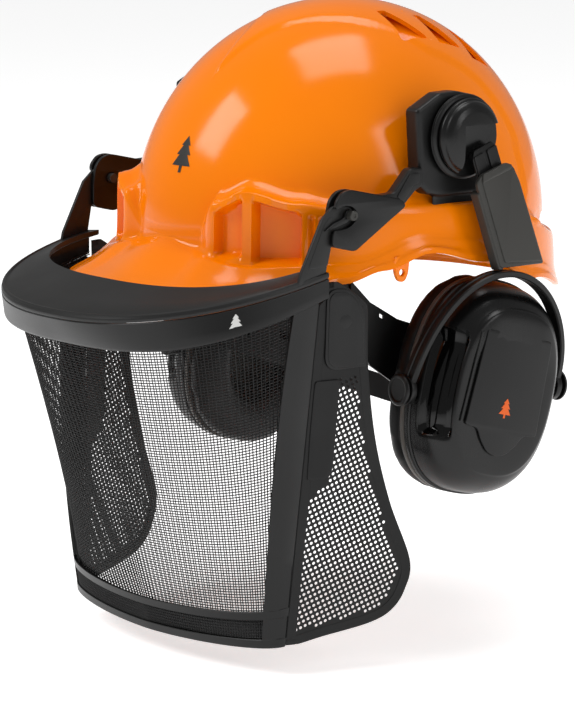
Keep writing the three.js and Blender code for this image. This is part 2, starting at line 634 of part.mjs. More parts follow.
// the head band ends at both temples, where the nape strap lies along its outer face and slides
function bandPlace(angle, inset = 0) {
  const [c, s] = [Math.cos(rad(angle)), Math.sin(rad(angle))];
  const out = vec(c / HEAD.a, -s / HEAD.b, 0).normalize();
  return { p: vec(HEAD.a * c, -HEAD.b * s, midBand).addScaledVector(out, -inset), out };
}
const bandAngles = Array.from({ length: 21 }, (_, i) => HEAD.bandEnd + (i / 20) * (180 - 2 * HEAD.bandEnd));
const bandRows = bandAngles.map((angle) => {
  const { p, out } = bandPlace(angle);
  return strapRing(p, out, -bandHalf, bandHalf, HEAD.strap);
});
add('headband', skin(bandRows), BLACK);

const sweatRows = stations(SWEAT.from, SWEAT.to, 12, (angle) => {
  const { p, out } = bandPlace(angle, SWEAT.inset);
  return strapRing(p, out, -bandHalf - 1, bandHalf - 3, SWEAT.thick);
});
add('sweatband', skin(sweatRows), CUSHION);

// the nape strap leaves the head band and drops behind the head: step 0 to 1 beside the ears, 1 to 2 behind
function napeHeights(y) {
  const after = Math.max(1, NAPE_LINE.findIndex(([place]) => y <= place));
  const [[y0, mid0, half0], [y1, mid1, half1]] = NAPE_LINE.slice(after - 1, after + 1);
  const share = (y - y0) / (y1 - y0);
  return [THREE.MathUtils.lerp(mid0, mid1, share), THREE.MathUtils.lerp(half0, half1, share)];
}
function napeRing(step) {
  const spread = Math.max(0, 1 - step);
  const angle = (Math.PI / 2) * Math.max(0, step - 1);
  const y = step < 1 ? NAPE.start * spread : NAPE.back * Math.sin(angle) ** 0.95;
  const x = (NAPE.x - NAPE.pinch * spread ** 2) * Math.max(0, Math.cos(angle)) ** 0.85;
  const lean = (2 * NAPE.pinch * spread) / NAPE.start;
  const out = vec(Math.cos(angle), Math.sin(angle) + lean, 0).normalize();
  const [mid, half] = napeHeights(y);
  return strapRing(vec(x, y, mid), out, -half, half, HEAD.strap);
}
const napeSteps = [0, 0.12, 0.24, 0.4, 0.6, 0.8, 1, 1.15, 1.3, 1.45, 1.6, 1.75, 1.9, 2];
const napeHalf = napeSteps.map(napeRing);
const flip = (ring) => ring.map((p) => vec(-p.x, p.y, p.z));
add('nape_strap', skin([...napeHalf, ...napeHalf.slice(0, -1).reverse().map(flip)]), BLACK);

const aboutY = (profile, sides) => alongY(profile, sides).translate(0, RATCHET.y, RATCHET.z);
const housingShape = new THREE.Shape();
housingShape.absellipse(0, 0, RATCHET.wide / 2, RATCHET.high / 2, 0, Math.PI * 2);
const housingOptions = { depth: RATCHET.deep, bevelEnabled: false, curveSegments: 14 };
const housing = new THREE.ExtrudeGeometry(housingShape, housingOptions).rotateX(Math.PI / 2)
  .translate(0, RATCHET.y + RATCHET.deep, RATCHET.z);
const pocket = aboutY([[-1, 0], [-1, RATCHET.pinion + 1.4], [8, RATCHET.pinion + 1.4], [8, 0]], 24);
const shaftHole = aboutY([[6, 0], [6, RATCHET.shaft + GAP], [20, RATCHET.shaft + GAP], [20, 0]]);
add('ratchet_housing', cut(housing, pocket, shaftHole), BLACK);

const pinionShape = new THREE.Shape(Array.from({ length: TEETH * 4 }, (_, i) => {
  const radius = i % 4 < 2 ? RATCHET.pinion : RATCHET.pinion - 1.6;
  const angle = (Math.PI * 2 * i) / (TEETH * 4);
  return new THREE.Vector2(radius * Math.cos(angle), radius * Math.sin(angle));
}));
const pinionWheel = new THREE.ExtrudeGeometry(pinionShape, { depth: 5, bevelEnabled: false })
  .rotateX(Math.PI / 2).translate(0, RATCHET.y + 6.5, RATCHET.z);
const shaftEnd = RATCHET.deep + 0.1;
const shaft = aboutY([[4, 0], [4, RATCHET.shaft], [shaftEnd, RATCHET.shaft], [shaftEnd, 0]]);
add('ratchet_pinion', join(pinionWheel, shaft), GREY);
const start = RATCHET.deep + 2 * GAP;
const knobSteps = [[start, 0], [start, RATCHET.knob - 1], [start + 1.5, RATCHET.knob], [start + 9, RATCHET.knob - 1],
  [start + 11, RATCHET.knob - 3], [start + 11, 0]];
const grips = Array.from({ length: LOBES }, (_, i) => {
  const angle = (Math.PI * 2 * i) / LOBES;
  const groove = alongY([[start - 1, 0], [start - 1, 1.5], [start + 12, 1.5], [start + 12, 0]], 8);
  const reach = RATCHET.knob + 0.3;
  return groove.translate(reach * Math.cos(angle), RATCHET.y, RATCHET.z + reach * Math.sin(angle));
});
add('ratchet_knob', cut(aboutY(knobSteps, 32), ...grips), BLACK);

// crown straps cross over the head, lowest first, and each ends on two anchor clips
const crownReach = (angle) => 1 / Math.hypot(Math.sin(angle) / (HEAD.a + 7), Math.cos(angle) / (HEAD.b + 8));
[90, 32, -32].forEach((plan, level) => {
  const angle = rad(plan);
  const along = vec(Math.sin(angle), -Math.cos(angle), 0);
  const across = vec(along.y, -along.x, 0).multiplyScalar(CROWN.width / 2);
  const high = CROWN.high - CROWN.foot + level * (CROWN.strap + 3 * CROWN.gap);
  const rows = stations(0, 180, 16, (t) => {
    const place = (thick, side) => along.clone()
      .multiplyScalar((crownReach(angle) + thick) * Math.cos(rad(t)))
      .add(vec(0, 0, CROWN.foot + (high + thick) * Math.sin(rad(t))))
      .addScaledVector(across, side);
    const [low, top] = [-CROWN.strap / 2, CROWN.strap / 2];
    return [place(top, -1), place(top, 1), place(low, 1), place(low, -1)];
  });
  add(`crown_strap_${level + 1}`, skin(rows), WEBBING);
});

['left', 'front_left', 'front_right', 'right', 'rear_left', 'rear_right'].forEach((name, i) => {
  const plan = [90, 32, -32, -90, 148, -148][i];
  const angle = rad(plan);
  const along = vec(Math.sin(angle), -Math.cos(angle), 0);
  const reach = crownReach(angle);
  const clip = box([CLIP.wide, CLIP.thick, CROWN.foot - GAP - CLIP.low], [0, 0, 0]);
  clip.rotateZ(Math.atan2(along.y, along.x) - Math.PI / 2);
  const place = along.multiplyScalar(reach + 0.2);
  add(`anchor_clip_${name}`, clip.translate(place.x, place.y, (CROWN.foot - GAP + CLIP.low) / 2), BLACK);
});

export default helmet;
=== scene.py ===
"""A forestry helmet: glossy moulded shell, flip-up mesh visor with side wings, and ear muffs on sprung arms.

Lengths below are in millimetres and become metres where a piece is placed. -Y is the wearer's front and +X
their left.
"""
import json
import math
from functools import lru_cache

import bmesh
import bpy
from mathutils import Matrix, Vector

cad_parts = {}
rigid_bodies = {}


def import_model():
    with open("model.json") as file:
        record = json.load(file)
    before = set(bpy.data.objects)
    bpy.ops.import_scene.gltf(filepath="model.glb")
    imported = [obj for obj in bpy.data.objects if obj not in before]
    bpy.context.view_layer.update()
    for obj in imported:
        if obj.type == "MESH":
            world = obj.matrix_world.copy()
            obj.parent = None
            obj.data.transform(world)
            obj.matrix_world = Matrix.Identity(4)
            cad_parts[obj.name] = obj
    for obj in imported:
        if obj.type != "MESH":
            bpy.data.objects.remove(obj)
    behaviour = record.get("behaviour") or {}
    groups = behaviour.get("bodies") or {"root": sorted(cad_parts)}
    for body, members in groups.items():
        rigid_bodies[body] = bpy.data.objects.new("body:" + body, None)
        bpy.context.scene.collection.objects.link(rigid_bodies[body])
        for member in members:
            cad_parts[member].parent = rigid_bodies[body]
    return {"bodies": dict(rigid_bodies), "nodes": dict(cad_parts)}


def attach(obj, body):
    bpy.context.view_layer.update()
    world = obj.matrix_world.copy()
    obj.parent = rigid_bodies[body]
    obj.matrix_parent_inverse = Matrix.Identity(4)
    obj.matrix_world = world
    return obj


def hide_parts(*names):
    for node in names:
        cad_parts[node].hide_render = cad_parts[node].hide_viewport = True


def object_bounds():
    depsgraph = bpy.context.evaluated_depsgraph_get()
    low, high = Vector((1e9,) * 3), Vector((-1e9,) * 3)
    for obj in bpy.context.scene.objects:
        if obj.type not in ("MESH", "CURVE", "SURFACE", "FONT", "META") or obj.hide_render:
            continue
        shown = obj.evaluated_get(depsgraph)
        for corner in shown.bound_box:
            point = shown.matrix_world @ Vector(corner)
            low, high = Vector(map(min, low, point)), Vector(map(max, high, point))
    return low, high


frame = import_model()
CAD_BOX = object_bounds()

MM = 0.001
SHARP = 32
WELD = 1e-6
SIDES = (("left", 1), ("right", -1))
WORK = bpy.context.scene.collection

# camera, in mm and degrees
CAMERA = {"place": (1532.9, -1301.9, 299.7), "azimuth": 50.5, "elevation": 10.0, "lens": 175.0,
          "sensor": 36.0}

# shell, by plan angle from the front as (angle, value)
DOME = {"a": 103, "b": 127, "c": 126, "level": 29}
SHELL_WALL = 2.4
LEDGE_OUT = ((0, 0), (12, 0), (18, 9), (24, 12), (39, 12), (48, 9), (77, 7), (180, 8))
LEDGE_TOP = ((0, 36), (12, 37), (18, 53), (26, 60), (39, 54), (48, 51), (98, 49), (150, 20), (180, 20))
BRIM_TOP = ((0, 25), (12, 22), (28, 18), (54, 19), (74, 30), (88, 28), (120, 8), (150, -6), (180, -8))
RIM_OUT = ((0, 49), (17, 46), (28, 37), (39, 25), (51, 14), (62, 11), (180, 12))
RIM_LOW = ((0, -4), (30, 1), (51, 9), (62, 15), (76, 23), (96, 15), (120, 0), (150, -13), (180, -15))
# pockets in the raised front boxes: (from angle, to angle, low, high at each end, depth)
POCKETS = ((18.6, 25.4, 23, 46, 54, 6.5), (28.6, 40.2, 20, 53.5, 47, 8.5),
           (42.0, 43.4, 22, 46, 46, 2.5), (44.6, 46.0, 22, 45, 45, 2.5))
# the raised crown, as (place along Y, half width)
CROWN_EDGE = ((-90, 0), (-74, 4), (-61, 8), (-42, 19), (-25, 31), (-5, 47), (12, 62), (43, 70), (61, 79),
              (66, 110))
VENTS = (0, 26, 50)
VENT = {"middle": 44, "wide": 28, "long": 18, "deep": 8}

# visor curves: half width, place along Y and height at the ends and at the front, and squareness
HINGE = (-86, 49)
GUARD_OUTER = (110, -100, -207.7, 19.2, -4.2, 2.3)
GUARD_INNER = (98, -100, -168, 20.5, 9.6, 2.6)
BAND_LOW = (110, -100, -197, 4.8, -23.2, 2.8)
MESH_TOP = (103.6, -103, -193, 8, -16, 2.6)
MESH_LOW = (91.4, -117.7, -137, -188.6, -193.5, 1.7)
GUARD_THICK = 3.2
FRAME_OUT = (1.1, 3.1)
FRAME_TOP = 0.885
MESH_PITCH = 1.75
MESH_DEEP = 205
WIRE = 0.31
EMBOSS = 0.42

WING_REAR = ((-13, -92), (-2, -76), (6, -73), (36, -72), (76, -67), (112, -58), (146, -46), (163, -49),
             (174, -57), (180, -70), (185, -96), (188, -110))
WING = {"high": 13, "low": -188, "wall": 1.3, "border": 7, "pitch": 2.8, "hole": 0.95, "turn": 22,
        "middle": (-84, -86)}

# ear muffs
HUB = (-4, 86)
ARM_TOP = Vector((123.5, 8.5, 64))
ARM_LOW = Vector((126, 26.8, 11.5))
CUP = {"centre": Vector((108, 12.3, -57)), "toe_in": 3, "lean": 15, "wide": 45, "high": 60}
YOKE = {"reach": 53, "rise": 66.3, "bow": 16.5, "across": 9, "thick": 3.6, "tilt": 4.7}

# harness
HEAD = {"a": 77, "b": 96, "low": -14, "high": 16, "end": 30, "strap": 1.8}
CROWN = {"foot": 31, "high": 108, "width": 18, "strap": 1.2, "gap": 0.4}
NAPE = {"start": -50, "x": 74.6, "pinch": 5.2, "back": 92}
# the nape strap's middle height and half width at places along Y
NAPE_LINE = ((-50, (-8, 13)), (-38, (-26, 18)), (-20, (-38, 19)), (0, (-45, 19)), (46, (-62, 19)),
             (92, (-82, 19)))
RATCHET = {"y": 93.2, "z": -82, "deep": 13, "knob": 19}


# ---------------------------------------------------------------- numbers
def lerp(a, b, share):
    return a + (b - a) * share


def clamp(value, low=0.0, high=1.0):
    return max(low, min(high, value))


def smooth(value, low, high):
    share = clamp((value - low) / (high - low))
    return share * share * (3 - 2 * share)


def eased(table, at):
    """The value at a place in a table of (place, value), eased between neighbours."""
    for (a0, v0), (a1, v1) in zip(table, table[1:]):
        if at <= a1:
            return lerp(v0, v1, smooth(at, a0, a1))
    return table[-1][1]


def straight(table, at):
    """The value at a place in a table of (place, value), with straight lines between neighbours."""
    for (a0, v0), (a1, v1) in zip(table, table[1:]):
        if at <= a1:
            return lerp(v0, v1, clamp((at - a0) / (a1 - a0)))
    return table[-1][1]


def through(points, counts):
    """A smooth line through points, with so many steps between each two."""
    line = []
    for i, count in enumerate(counts):
        p0, p1 = Vector(points[max(0, i - 1)]), Vector(points[i])
        p2, p3 = Vector(points[i + 1]), Vector(points[min(len(points) - 1, i + 2)])
        for k in range(count):
            t = k / count
            line.append(0.5 * (2 * p1 + (p2 - p0) * t + (2 * p0 - 5 * p1 + 4 * p2 - p3) * t * t
                               + (3 * p1 - p0 - 3 * p2 + p3) * t ** 3))
    line.append(Vector(points[-1]))
    return line


def rounded(points, radius, steps=4, closed=True):
    """An outline with each corner turned in a short curve."""
    line = []
    count = len(points)
    for i, point in enumerate(points):
        here = Vector(point)
        if not closed and i in (0, count - 1):
            line.append(here)
            continue
        before, after = Vector(points[i - 1]), Vector(points[(i + 1) % count])
        back, on = before - here, after - here
        reach = min(radius, back.length * 0.48, on.length * 0.48)
        start, end = here + back.normalized() * reach, here + on.normalized() * reach
        for k in range(steps + 1):
            t = k / steps
            line.append(start * (1 - t) ** 2 + here * 2 * t * (1 - t) + end * t * t)
    return line


def circle(y, z, radius, steps=28):
    return [(y + radius * math.cos(2 * math.pi * k / steps), z + radius * math.sin(2 * math.pi * k / steps))
            for k in range(steps)]


def oval(wide, high, share, squareness=2.5):
    """A point of a squared oval, with share from 0 to 1 once round."""
    c, s = math.cos(2 * math.pi * share), math.sin(2 * math.pi * share)
    power = 2 / squareness
    return wide * math.copysign(abs(c) ** power, c), high * math.copysign(abs(s) ** power, s)


# ---------------------------------------------------------------- mesh work
def grid(columns, rows, place):
    """A sheet of columns x rows faces whose corners are placed by place(u, v), u and v from 0 to 1."""
    bm = bmesh.new()
    bmesh.ops.create_grid(bm, x_segments=columns, y_segments=rows, size=0.5)
    for vert in bm.verts:
        vert.co = Vector(place(vert.co.x + 0.5, vert.co.y + 0.5)) * MM
    bmesh.ops.remove_doubles(bm, verts=bm.verts, dist=WELD)
    return bm


def closed(bm):
    """Fills open ends and turns the faces outwards."""
    open_edges = [edge for edge in bm.edges if edge.is_boundary]
    if open_edges:
        bmesh.ops.holes_fill(bm, edges=open_edges, sides=0)
    bmesh.ops.recalc_face_normals(bm, faces=bm.faces)
    return bm


def walled(bm, thickness):
    """Gives a sheet a wall; a positive thickness grows against its faces' direction."""
    bmesh.ops.solidify(bm, geom=bm.faces, thickness=thickness * MM)
    return bm


def turned(profile, place=Matrix(), steps=72):
    """A body of revolution about local Z from (radius, height) points."""
    bm = bmesh.new()
    verts = [bm.verts.new((radius * MM, 0, height * MM)) for radius, height in profile]
    edges = [bm.edges.new(pair) for pair in zip(verts, verts[1:])]
    bmesh.ops.spin(bm, geom=verts + edges, cent=(0, 0, 0), axis=(0, 0, 1), dvec=(0, 0, 0), angle=2 * math.pi,
                   steps=steps, use_merge=True, use_normal_flip=False, use_duplicate=False)
    bmesh.ops.remove_doubles(bm, verts=bm.verts, dist=WELD)
    bmesh.ops.recalc_face_normals(bm, faces=bm.faces)
    bm.transform(place)
    return bm


def plate(outlines, low, high, place, edge=0.4):
    """A flat plate with rounded edges from closed outlines, between two heights; inner outlines are holes."""
    curve = bpy.data.curves.new("outline", "CURVE")
    curve.dimensions = "2D"
    curve.fill_mode = "BOTH"
    curve.extrude = ((high - low) / 2 - edge) * MM
    curve.bevel_depth = edge * MM
    curve.bevel_resolution = 2
    curve.offset = -edge * MM
    for outline in outlines:
        spline = curve.splines.new("POLY")
        spline.points.add(len(outline) - 1)
        for point, (x, y) in zip(spline.points, outline):
            point.co = (x * MM, y * MM, 0, 1)
        spline.use_cyclic_u = True
    holder = bpy.data.objects.new("outline", curve)
    bm = bmesh.new()
    mesh = bpy.data.meshes.new_from_object(holder)
    bm.from_mesh(mesh)
    bpy.data.objects.remove(holder)
    bmesh.ops.remove_doubles(bm, verts=bm.verts, dist=WELD)
    bmesh.ops.recalc_face_normals(bm, faces=bm.faces)
    bm.transform(place @ Matrix.Translation((0, 0, (low + high) / 2 * MM)))
    return bm


def softened(node, edge=0.5):
    """A CAD node's shape with its sharp edges rounded."""
    bm = bmesh.new()
    bm.from_mesh(frame["nodes"][node].data)
    bmesh.ops.remove_doubles(bm, verts=bm.verts, dist=1e-5)
    bmesh.ops.dissolve_limit(bm, angle_limit=math.radians(1), verts=bm.verts, edges=bm.edges)
    sharp = [e for e in bm.edges if len(e.link_faces) == 2 and e.calc_face_angle(0) > math.radians(25)]
    bmesh.ops.bevel(bm, geom=sharp, offset=edge * MM, offset_type="OFFSET", segments=2, profile=0.5,
                    affect="EDGES", material=-1, clamp_overlap=True)
    return bm


def worn(node, voxel, passes):
    """A CAD node's shape with every edge rounded off broadly, as a thick moulding's are."""
    obj = bpy.data.objects.new(node, frame["nodes"][node].data.copy())
    WORK.objects.link(obj)
    remesh = obj.modifiers.new("even", "REMESH")
    remesh.mode = "VOXEL"
    remesh.voxel_size = voxel * MM
    ease = obj.modifiers.new("ease", "SMOOTH")
    ease.factor = 0.5
    ease.iterations = passes
    bm = bmesh.new()
    bm.from_object(obj, bpy.context.evaluated_depsgraph_get())
    bpy.data.objects.remove(obj)
    return bm


def joined(*parts):
    whole = bmesh.new()
    for part in parts:
        mesh = bpy.data.meshes.new("part")
        part.to_mesh(mesh)
        part.free()
        whole.from_mesh(mesh)
        bpy.data.meshes.remove(mesh)
    return whole


def piece(name, bm, material, body, nodes=(), sharp=SHARP):
    mesh = bpy.data.meshes.new(name)
    bm.to_mesh(mesh)
    bm.free()
    mesh.materials.append(material)
    mesh.shade_smooth()
    mesh.set_sharp_from_angle(angle=math.radians(sharp))
    obj = bpy.data.objects.new(name, mesh)
    WORK.objects.link(obj)
    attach(obj, body)
    if nodes:
        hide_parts(*nodes)
    return obj


def mirrored(bm):
    bmesh.ops.scale(bm, vec=(-1, 1, 1), verts=bm.verts)
    bmesh.ops.reverse_faces(bm, faces=bm.faces)
    return bm


def pair(name, build, material, body, slot, nodes=(), sharp=SHARP):
    """The same piece on the wearer's left and, mirrored, on their right."""
    made = []
    for side, sign in SIDES:
        bm = build() if sign > 0 else mirrored(build())
        ridden = body if body in frame["bodies"] else f"{body}_{side}"
        made.append(piece(f"{name}_{side}", bm, material, ridden, [f"{n}_{side}" for n in nodes],
                          sharp))
    return made


# local X to Y, local Y to Z and local Z to X: an outline in the side view
SIDE_VIEW = Matrix(((0, 0, 1, 0), (1, 0, 0, 0), (0, 1, 0, 0), (0, 0, 0, 1)))


def at(x, y, z):
    return Matrix.Translation(Vector((x, y, z)) * MM)


# ---------------------------------------------------------------- finishes
def linear(colour):
    channels = [int(colour[i:i + 2], 16) / 255 for i in (1, 3, 5)]
    return [c / 12.92 if c <= 0.04045 else ((c + 0.055) / 1.055) ** 2.4 for c in channels] + [1.0]


def add(tree, kind, sockets=None, **settings):
    """Adds a node with its settings; a socket's value is a number, a colour or another node's output."""
    node = tree.nodes.new("ShaderNode" + kind)
    for key, value in settings.items():
        setattr(node, key, value)
    for key, value in (sockets or {}).items():
        if isinstance(value, bpy.types.NodeSocket):
            tree.links.new(value, node.inputs[key])
        else:
            node.inputs[key].default_value = value
    return node


def moulded(name, colour, shade, rough, grain_mm, bump_mm, ior=1.38, spread=0.06):
    """Moulded plastic: a base colour that drifts to a shade, and a fine surface grain of a real size."""
    material = bpy.data.materials.new(name)
    material.use_nodes = True
    tree = material.node_tree
    shader = tree.nodes["Principled BSDF"]
    where = add(tree, "TexCoord").outputs["Object"]
    drift = add(tree, "TexNoise", {"Vector": where, "Scale": 18.0, "Detail": 3.0})
    tint = add(tree, "MixRGB", {"Fac": drift.outputs["Fac"], "Color1": linear(colour),
                                "Color2": linear(shade)})
    grain = add(tree, "TexNoise", {"Vector": where, "Scale": 1 / (grain_mm * MM), "Detail": 2.0})
    gloss = add(tree, "MapRange", {"Value": drift.outputs["Fac"], "From Min": 0.3, "From Max": 0.7,
                                   "To Min": rough - spread, "To Max": rough + spread})
    relief = add(tree, "Bump", {"Height": grain.outputs["Fac"], "Distance": bump_mm * MM, "Strength": 1.0})
    tree.links.new(tint.outputs["Color"], shader.inputs["Base Color"])
    tree.links.new(gloss.outputs["Result"], shader.inputs["Roughness"])
    tree.links.new(relief.outputs["Normal"], shader.inputs["Normal"])
    shader.inputs["IOR"].default_value = ior
    return material


def woven(name, colour, shade, pitch_mm, relief_mm):
    """Woven strap: warp and weft threads crossing at their spacing, with the fuzz of the yarn, and painted
    shade darkening the dips between threads.
    """
    material = bpy.data.materials.new(name)
    material.use_nodes = True
    tree = material.node_tree
    shader = tree.nodes["Principled BSDF"]
    where = add(tree, "TexCoord").outputs["Object"]
    turns = math.pi / (pitch_mm * MM)
    warp = add(tree, "TexWave", {"Vector": where, "Scale": turns / 10}, bands_direction="X")
    weft = add(tree, "TexWave", {"Vector": where, "Scale": turns / 10}, bands_direction="Y")
    cross = add(tree, "Math", {0: warp.outputs["Fac"], 1: weft.outputs["Fac"]}, operation="MULTIPLY")
    fuzz = add(tree, "TexNoise", {"Vector": where, "Scale": 1 / (0.6 * MM), "Detail": 3.0})
    height = add(tree, "Math", {0: cross.outputs["Value"], 1: fuzz.outputs["Fac"]}, operation="ADD")
    # painted shade: the colour goes from the lighter colour on the raised crossings to the darker shade in
    # the low dips between threads
    tint = add(tree, "MixRGB", {"Fac": cross.outputs["Value"], "Color1": linear(shade),
                                "Color2": linear(colour)})
    relief = add(tree, "Bump", {"Height": height.outputs["Value"], "Distance": relief_mm * MM,
                                "Strength": 1.0})
    tree.links.new(tint.outputs["Color"], shader.inputs["Base Color"])
    tree.links.new(relief.outputs["Normal"], shader.inputs["Normal"])
    shader.inputs["Roughness"].default_value = 0.85
    shader.inputs["Sheen Weight"].default_value = 0.25
    return material


# injection-moulded ABS: deep orange with a hard gloss and a very slight ripple
ORANGE_ABS = moulded("orange_abs", "#FF8600", "#FA7E00", 0.14, 9.0, 0.012, ior=1.36, spread=0.03)
# glass-filled nylon from a spark-eroded mould: dark grey, dull and finely grained
GREY_NYLON = moulded("grained_grey_nylon", "#1F1F1F", "#1B1B1A", 0.4, 0.55, 0.035)
# the same nylon in black, as the band, brackets and arms are made
BLACK_NYLON = moulded("grained_black_nylon", "#0E0E0E", "#0B0B0B", 0.36, 0.6, 0.03)
# smoother black for the cups' faces and the hubs, with a soft shine along the curves
SATIN_BLACK = moulded("satin_black_abs", "#101010", "#0C0C0C", 0.3, 0.8, 0.012)
# polished pocket in the mould: near black with sharp reflections
GLOSS_BLACK = moulded("polished_black_abs", "#060606", "#040404", 0.1, 3.0, 0.004)
# the arm's face: the grey of worn tool steel copied on to nylon
ARM_GREY = moulded("grained_slate_nylon", "#3A3936", "#343330", 0.42, 0.5, 0.03)
# thin polyethylene sheet of the wings: deep black with little shine
SHEET_BLACK = moulded("rolled_black_polyethylene", "#0A0A0A", "#070707", 0.5, 0.9, 0.02)
# extruded nylon monofilament: smooth and dark
WIRE_NYLON = moulded("drawn_nylon_wire", "#0C0C0C", "#080808", 0.4, 0.5, 0.003)
# sealing rim of the cup in a lighter grey
RIM_GREY = moulded("smooth_grey_abs", "#5E5A55", "#56524E", 0.36, 0.8, 0.008)
# heat-formed vinyl skin: soft black with a leather-like grain
VINYL = moulded("soft_black_vinyl", "#0E0E0E", "#0A0A0A", 0.42, 1.1, 0.09)
# open-cell foam: dull grey and pitted
FOAM = moulded("open_cell_foam", "#55534F", "#3C3B38", 0.95, 0.9, 0.5)
# woven polyester strap: threads every 1.2 mm, with painted shade in the darker second colour where the weave
# dips
WEBBING = woven("woven_polyester_strap", "#2B2B2B", "#141414", 1.2, 0.25)
# silk-screened mark in white and in charcoal
PRINT_WHITE = moulded("screen_printed_white", "#D9D9D6", "#D0D0CE", 0.5, 0.5, 0.004)
PRINT_DARK = moulded("screen_printed_charcoal", "#2E2E2C", "#282826", 0.5, 0.5, 0.004)
PRINT_ORANGE = moulded("pad_printed_orange", "#E8641E", "#DE5E1A", 0.5, 0.5, 0.004)


# ---------------------------------------------------------------- shell
def plan_radius(angle):
    turn = math.radians(angle)
    return 1 / math.hypot(math.sin(turn) / DOME["a"], math.cos(turn) / DOME["b"])


def dome_radius(angle, z):
    rise = max(0, z - DOME["level"]) / DOME["c"]
    return plan_radius(angle) * math.sqrt(max(0, 1 - rise * rise))


def dome_out(x, y, z):
    """The way straight out of the dome at a place on it."""
    over = max(0, z - DOME["level"])
    return Vector((x / DOME["a"] ** 2, y / DOME["b"] ** 2, over / DOME["c"] ** 2)).normalized()


DOME_ROWS = 56
WALL_STEPS = (3, 3, 3, 16, 4, 6, 5, 3)


@lru_cache(maxsize=None)
def shell_profile(angle):
    """The shell's outer line at a plan angle, from the crown to the rim, as (radius, z)."""
    ledge, out = eased(LEDGE_TOP, angle), eased(LEDGE_OUT, angle)
    brim, rim_low = eased(BRIM_TOP, angle), eased(RIM_LOW, angle)
    rim = plan_radius(angle) + eased(RIM_OUT, angle)
    wall = dome_radius(angle, ledge) + out
    last = math.acos((ledge + 4 - DOME["level"]) / DOME["c"])
    line = []
    for k in range(DOME_ROWS):
        z = DOME["level"] + DOME["c"] * math.cos(last * k / DOME_ROWS)
        line.append(Vector((dome_radius(angle, z) if k else 0.0, z)))
    foot = max(wall + 1.5, plan_radius(angle) + 0.5)
    reach = rim - foot
    knots = [(dome_radius(angle, ledge + 4), ledge + 4),
             (dome_radius(angle, ledge) + 0.35 * out, ledge + 0.5),
             (wall - 0.15 * out, ledge - 1),
             (wall + 0.4, ledge - 5),
             (foot, brim + 4),
             (foot + 0.12 * reach + 0.6, brim),
             (foot + 0.5 * reach, lerp(brim - 1.5, rim_low + 3, 0.45)),
             (rim - 0.5, rim_low + 3),
             (rim, rim_low)]
    return line + through(knots, WALL_STEPS)


def crown_rise(x, y, z):
    """Height of the raised crown above the dome."""
    if y < -90 or z < 30:
        return 0.0
    return 1.5 * (1 - smooth(abs(x), straight(CROWN_EDGE, y) - 1.6, straight(CROWN_EDGE, y) + 1.6))


def pocket_depth(angle, z):
    depth = 0.0
    for first, last, low, high0, high1, deep in POCKETS:
        if first - 1 < angle < last + 1:
            high = lerp(high0, high1, clamp((angle - first) / (last - first)))
            across = smooth(angle, first - 0.4, first + 0.5) * (1 - smooth(angle, last - 0.5, last + 0.4))
            upright = smooth(z, low - 1, low + 1.6) * (1 - smooth(z, high - 1.6, high + 1))
            depth = max(depth, deep * across * upright)
    return depth


FRONT_SHARE = 0.56
FRONT_ANGLE = 50


def section_angle(u):
    """Plan angle of a section, with most sections across the detailed front."""
    side = abs(2 * u - 1)
    angle = FRONT_ANGLE * side / FRONT_SHARE
    if side > FRONT_SHARE:
        angle = FRONT_ANGLE + (180 - FRONT_ANGLE) * (side - FRONT_SHARE) / (1 - FRONT_SHARE)
    return math.copysign(angle, 2 * u - 1)


def shell_place(u, v):
    angle = section_angle(u)
    line = shell_profile(round(abs(angle), 6))
    row = round(v * (len(line) - 1))
    radius, z = line[row]
    if row > DOME_ROWS:
        radius -= pocket_depth(abs(angle), z)
    turn = math.radians(angle)
    x, y = radius * math.sin(turn), -radius * math.cos(turn)
    rise = crown_rise(x, y, z)
    return Vector((x, y, z)) + dome_out(x, y, z) * rise


def vent_view(front):
    """A vent's frame on the dome: X outwards across it, Y back along it and Z straight out."""
    x, y = VENT["middle"], front + VENT["long"] / 2
    z = DOME["level"] + DOME["c"] * math.sqrt(1 - (x / DOME["a"]) ** 2 - (y / DOME["b"]) ** 2)
    out = dome_out(x, y, z)
    back = (Vector((0, 1, 0)) - out * out.y).normalized()
    turn = Matrix([back.cross(out), back, out]).transposed().to_4x4()
    return Matrix.Translation(Vector((x, y, z)) * MM) @ turn


def vent_shapes():
    """For each left vent, the wedge to cut through the shell and the ramp moulded under it."""
    wide, long = VENT["wide"] / 2, VENT["long"] / 2
    wedge = rounded([(-wide, -long), (wide, -long), (wide, long), (wide - 3, long), (-wide, -long * 0.35)], 1)
    cutters, ramps = [], []
    for front in VENTS:
        view = vent_view(front)
        cutters.append(plate([wedge], -9, 9, view, 0.01))
        tip = Matrix.Rotation(math.atan2(VENT["deep"], VENT["long"]), 4, "X")
        ramp = [(-wide - 1, -long - 1), (wide + 1, -long - 1), (wide + 1, long + 4), (-wide - 1, long + 4)]
        ramps.append(plate([ramp], -1.5, 0, view @ at(0, 0, -1.2 - VENT["deep"] / 2) @ tip, 0.1))
    return cutters, ramps


def cut_away(bm, cutters):
    """Cuts solids out of a body."""
    body, tool = (bpy.data.objects.new(name, bpy.data.meshes.new(name)) for name in ("body", "tool"))
    whole = joined(*cutters)
    for obj, shape in ((body, bm), (tool, whole)):
        shape.to_mesh(obj.data)
        shape.free()
        WORK.objects.link(obj)
    cut = body.modifiers.new("cut", "BOOLEAN")
    cut.object = tool
    cut.solver = "EXACT"
    result = bmesh.new()
    result.from_object(body, bpy.context.evaluated_depsgraph_get())
    for obj in (body, tool):
        bpy.data.objects.remove(obj)
    return result


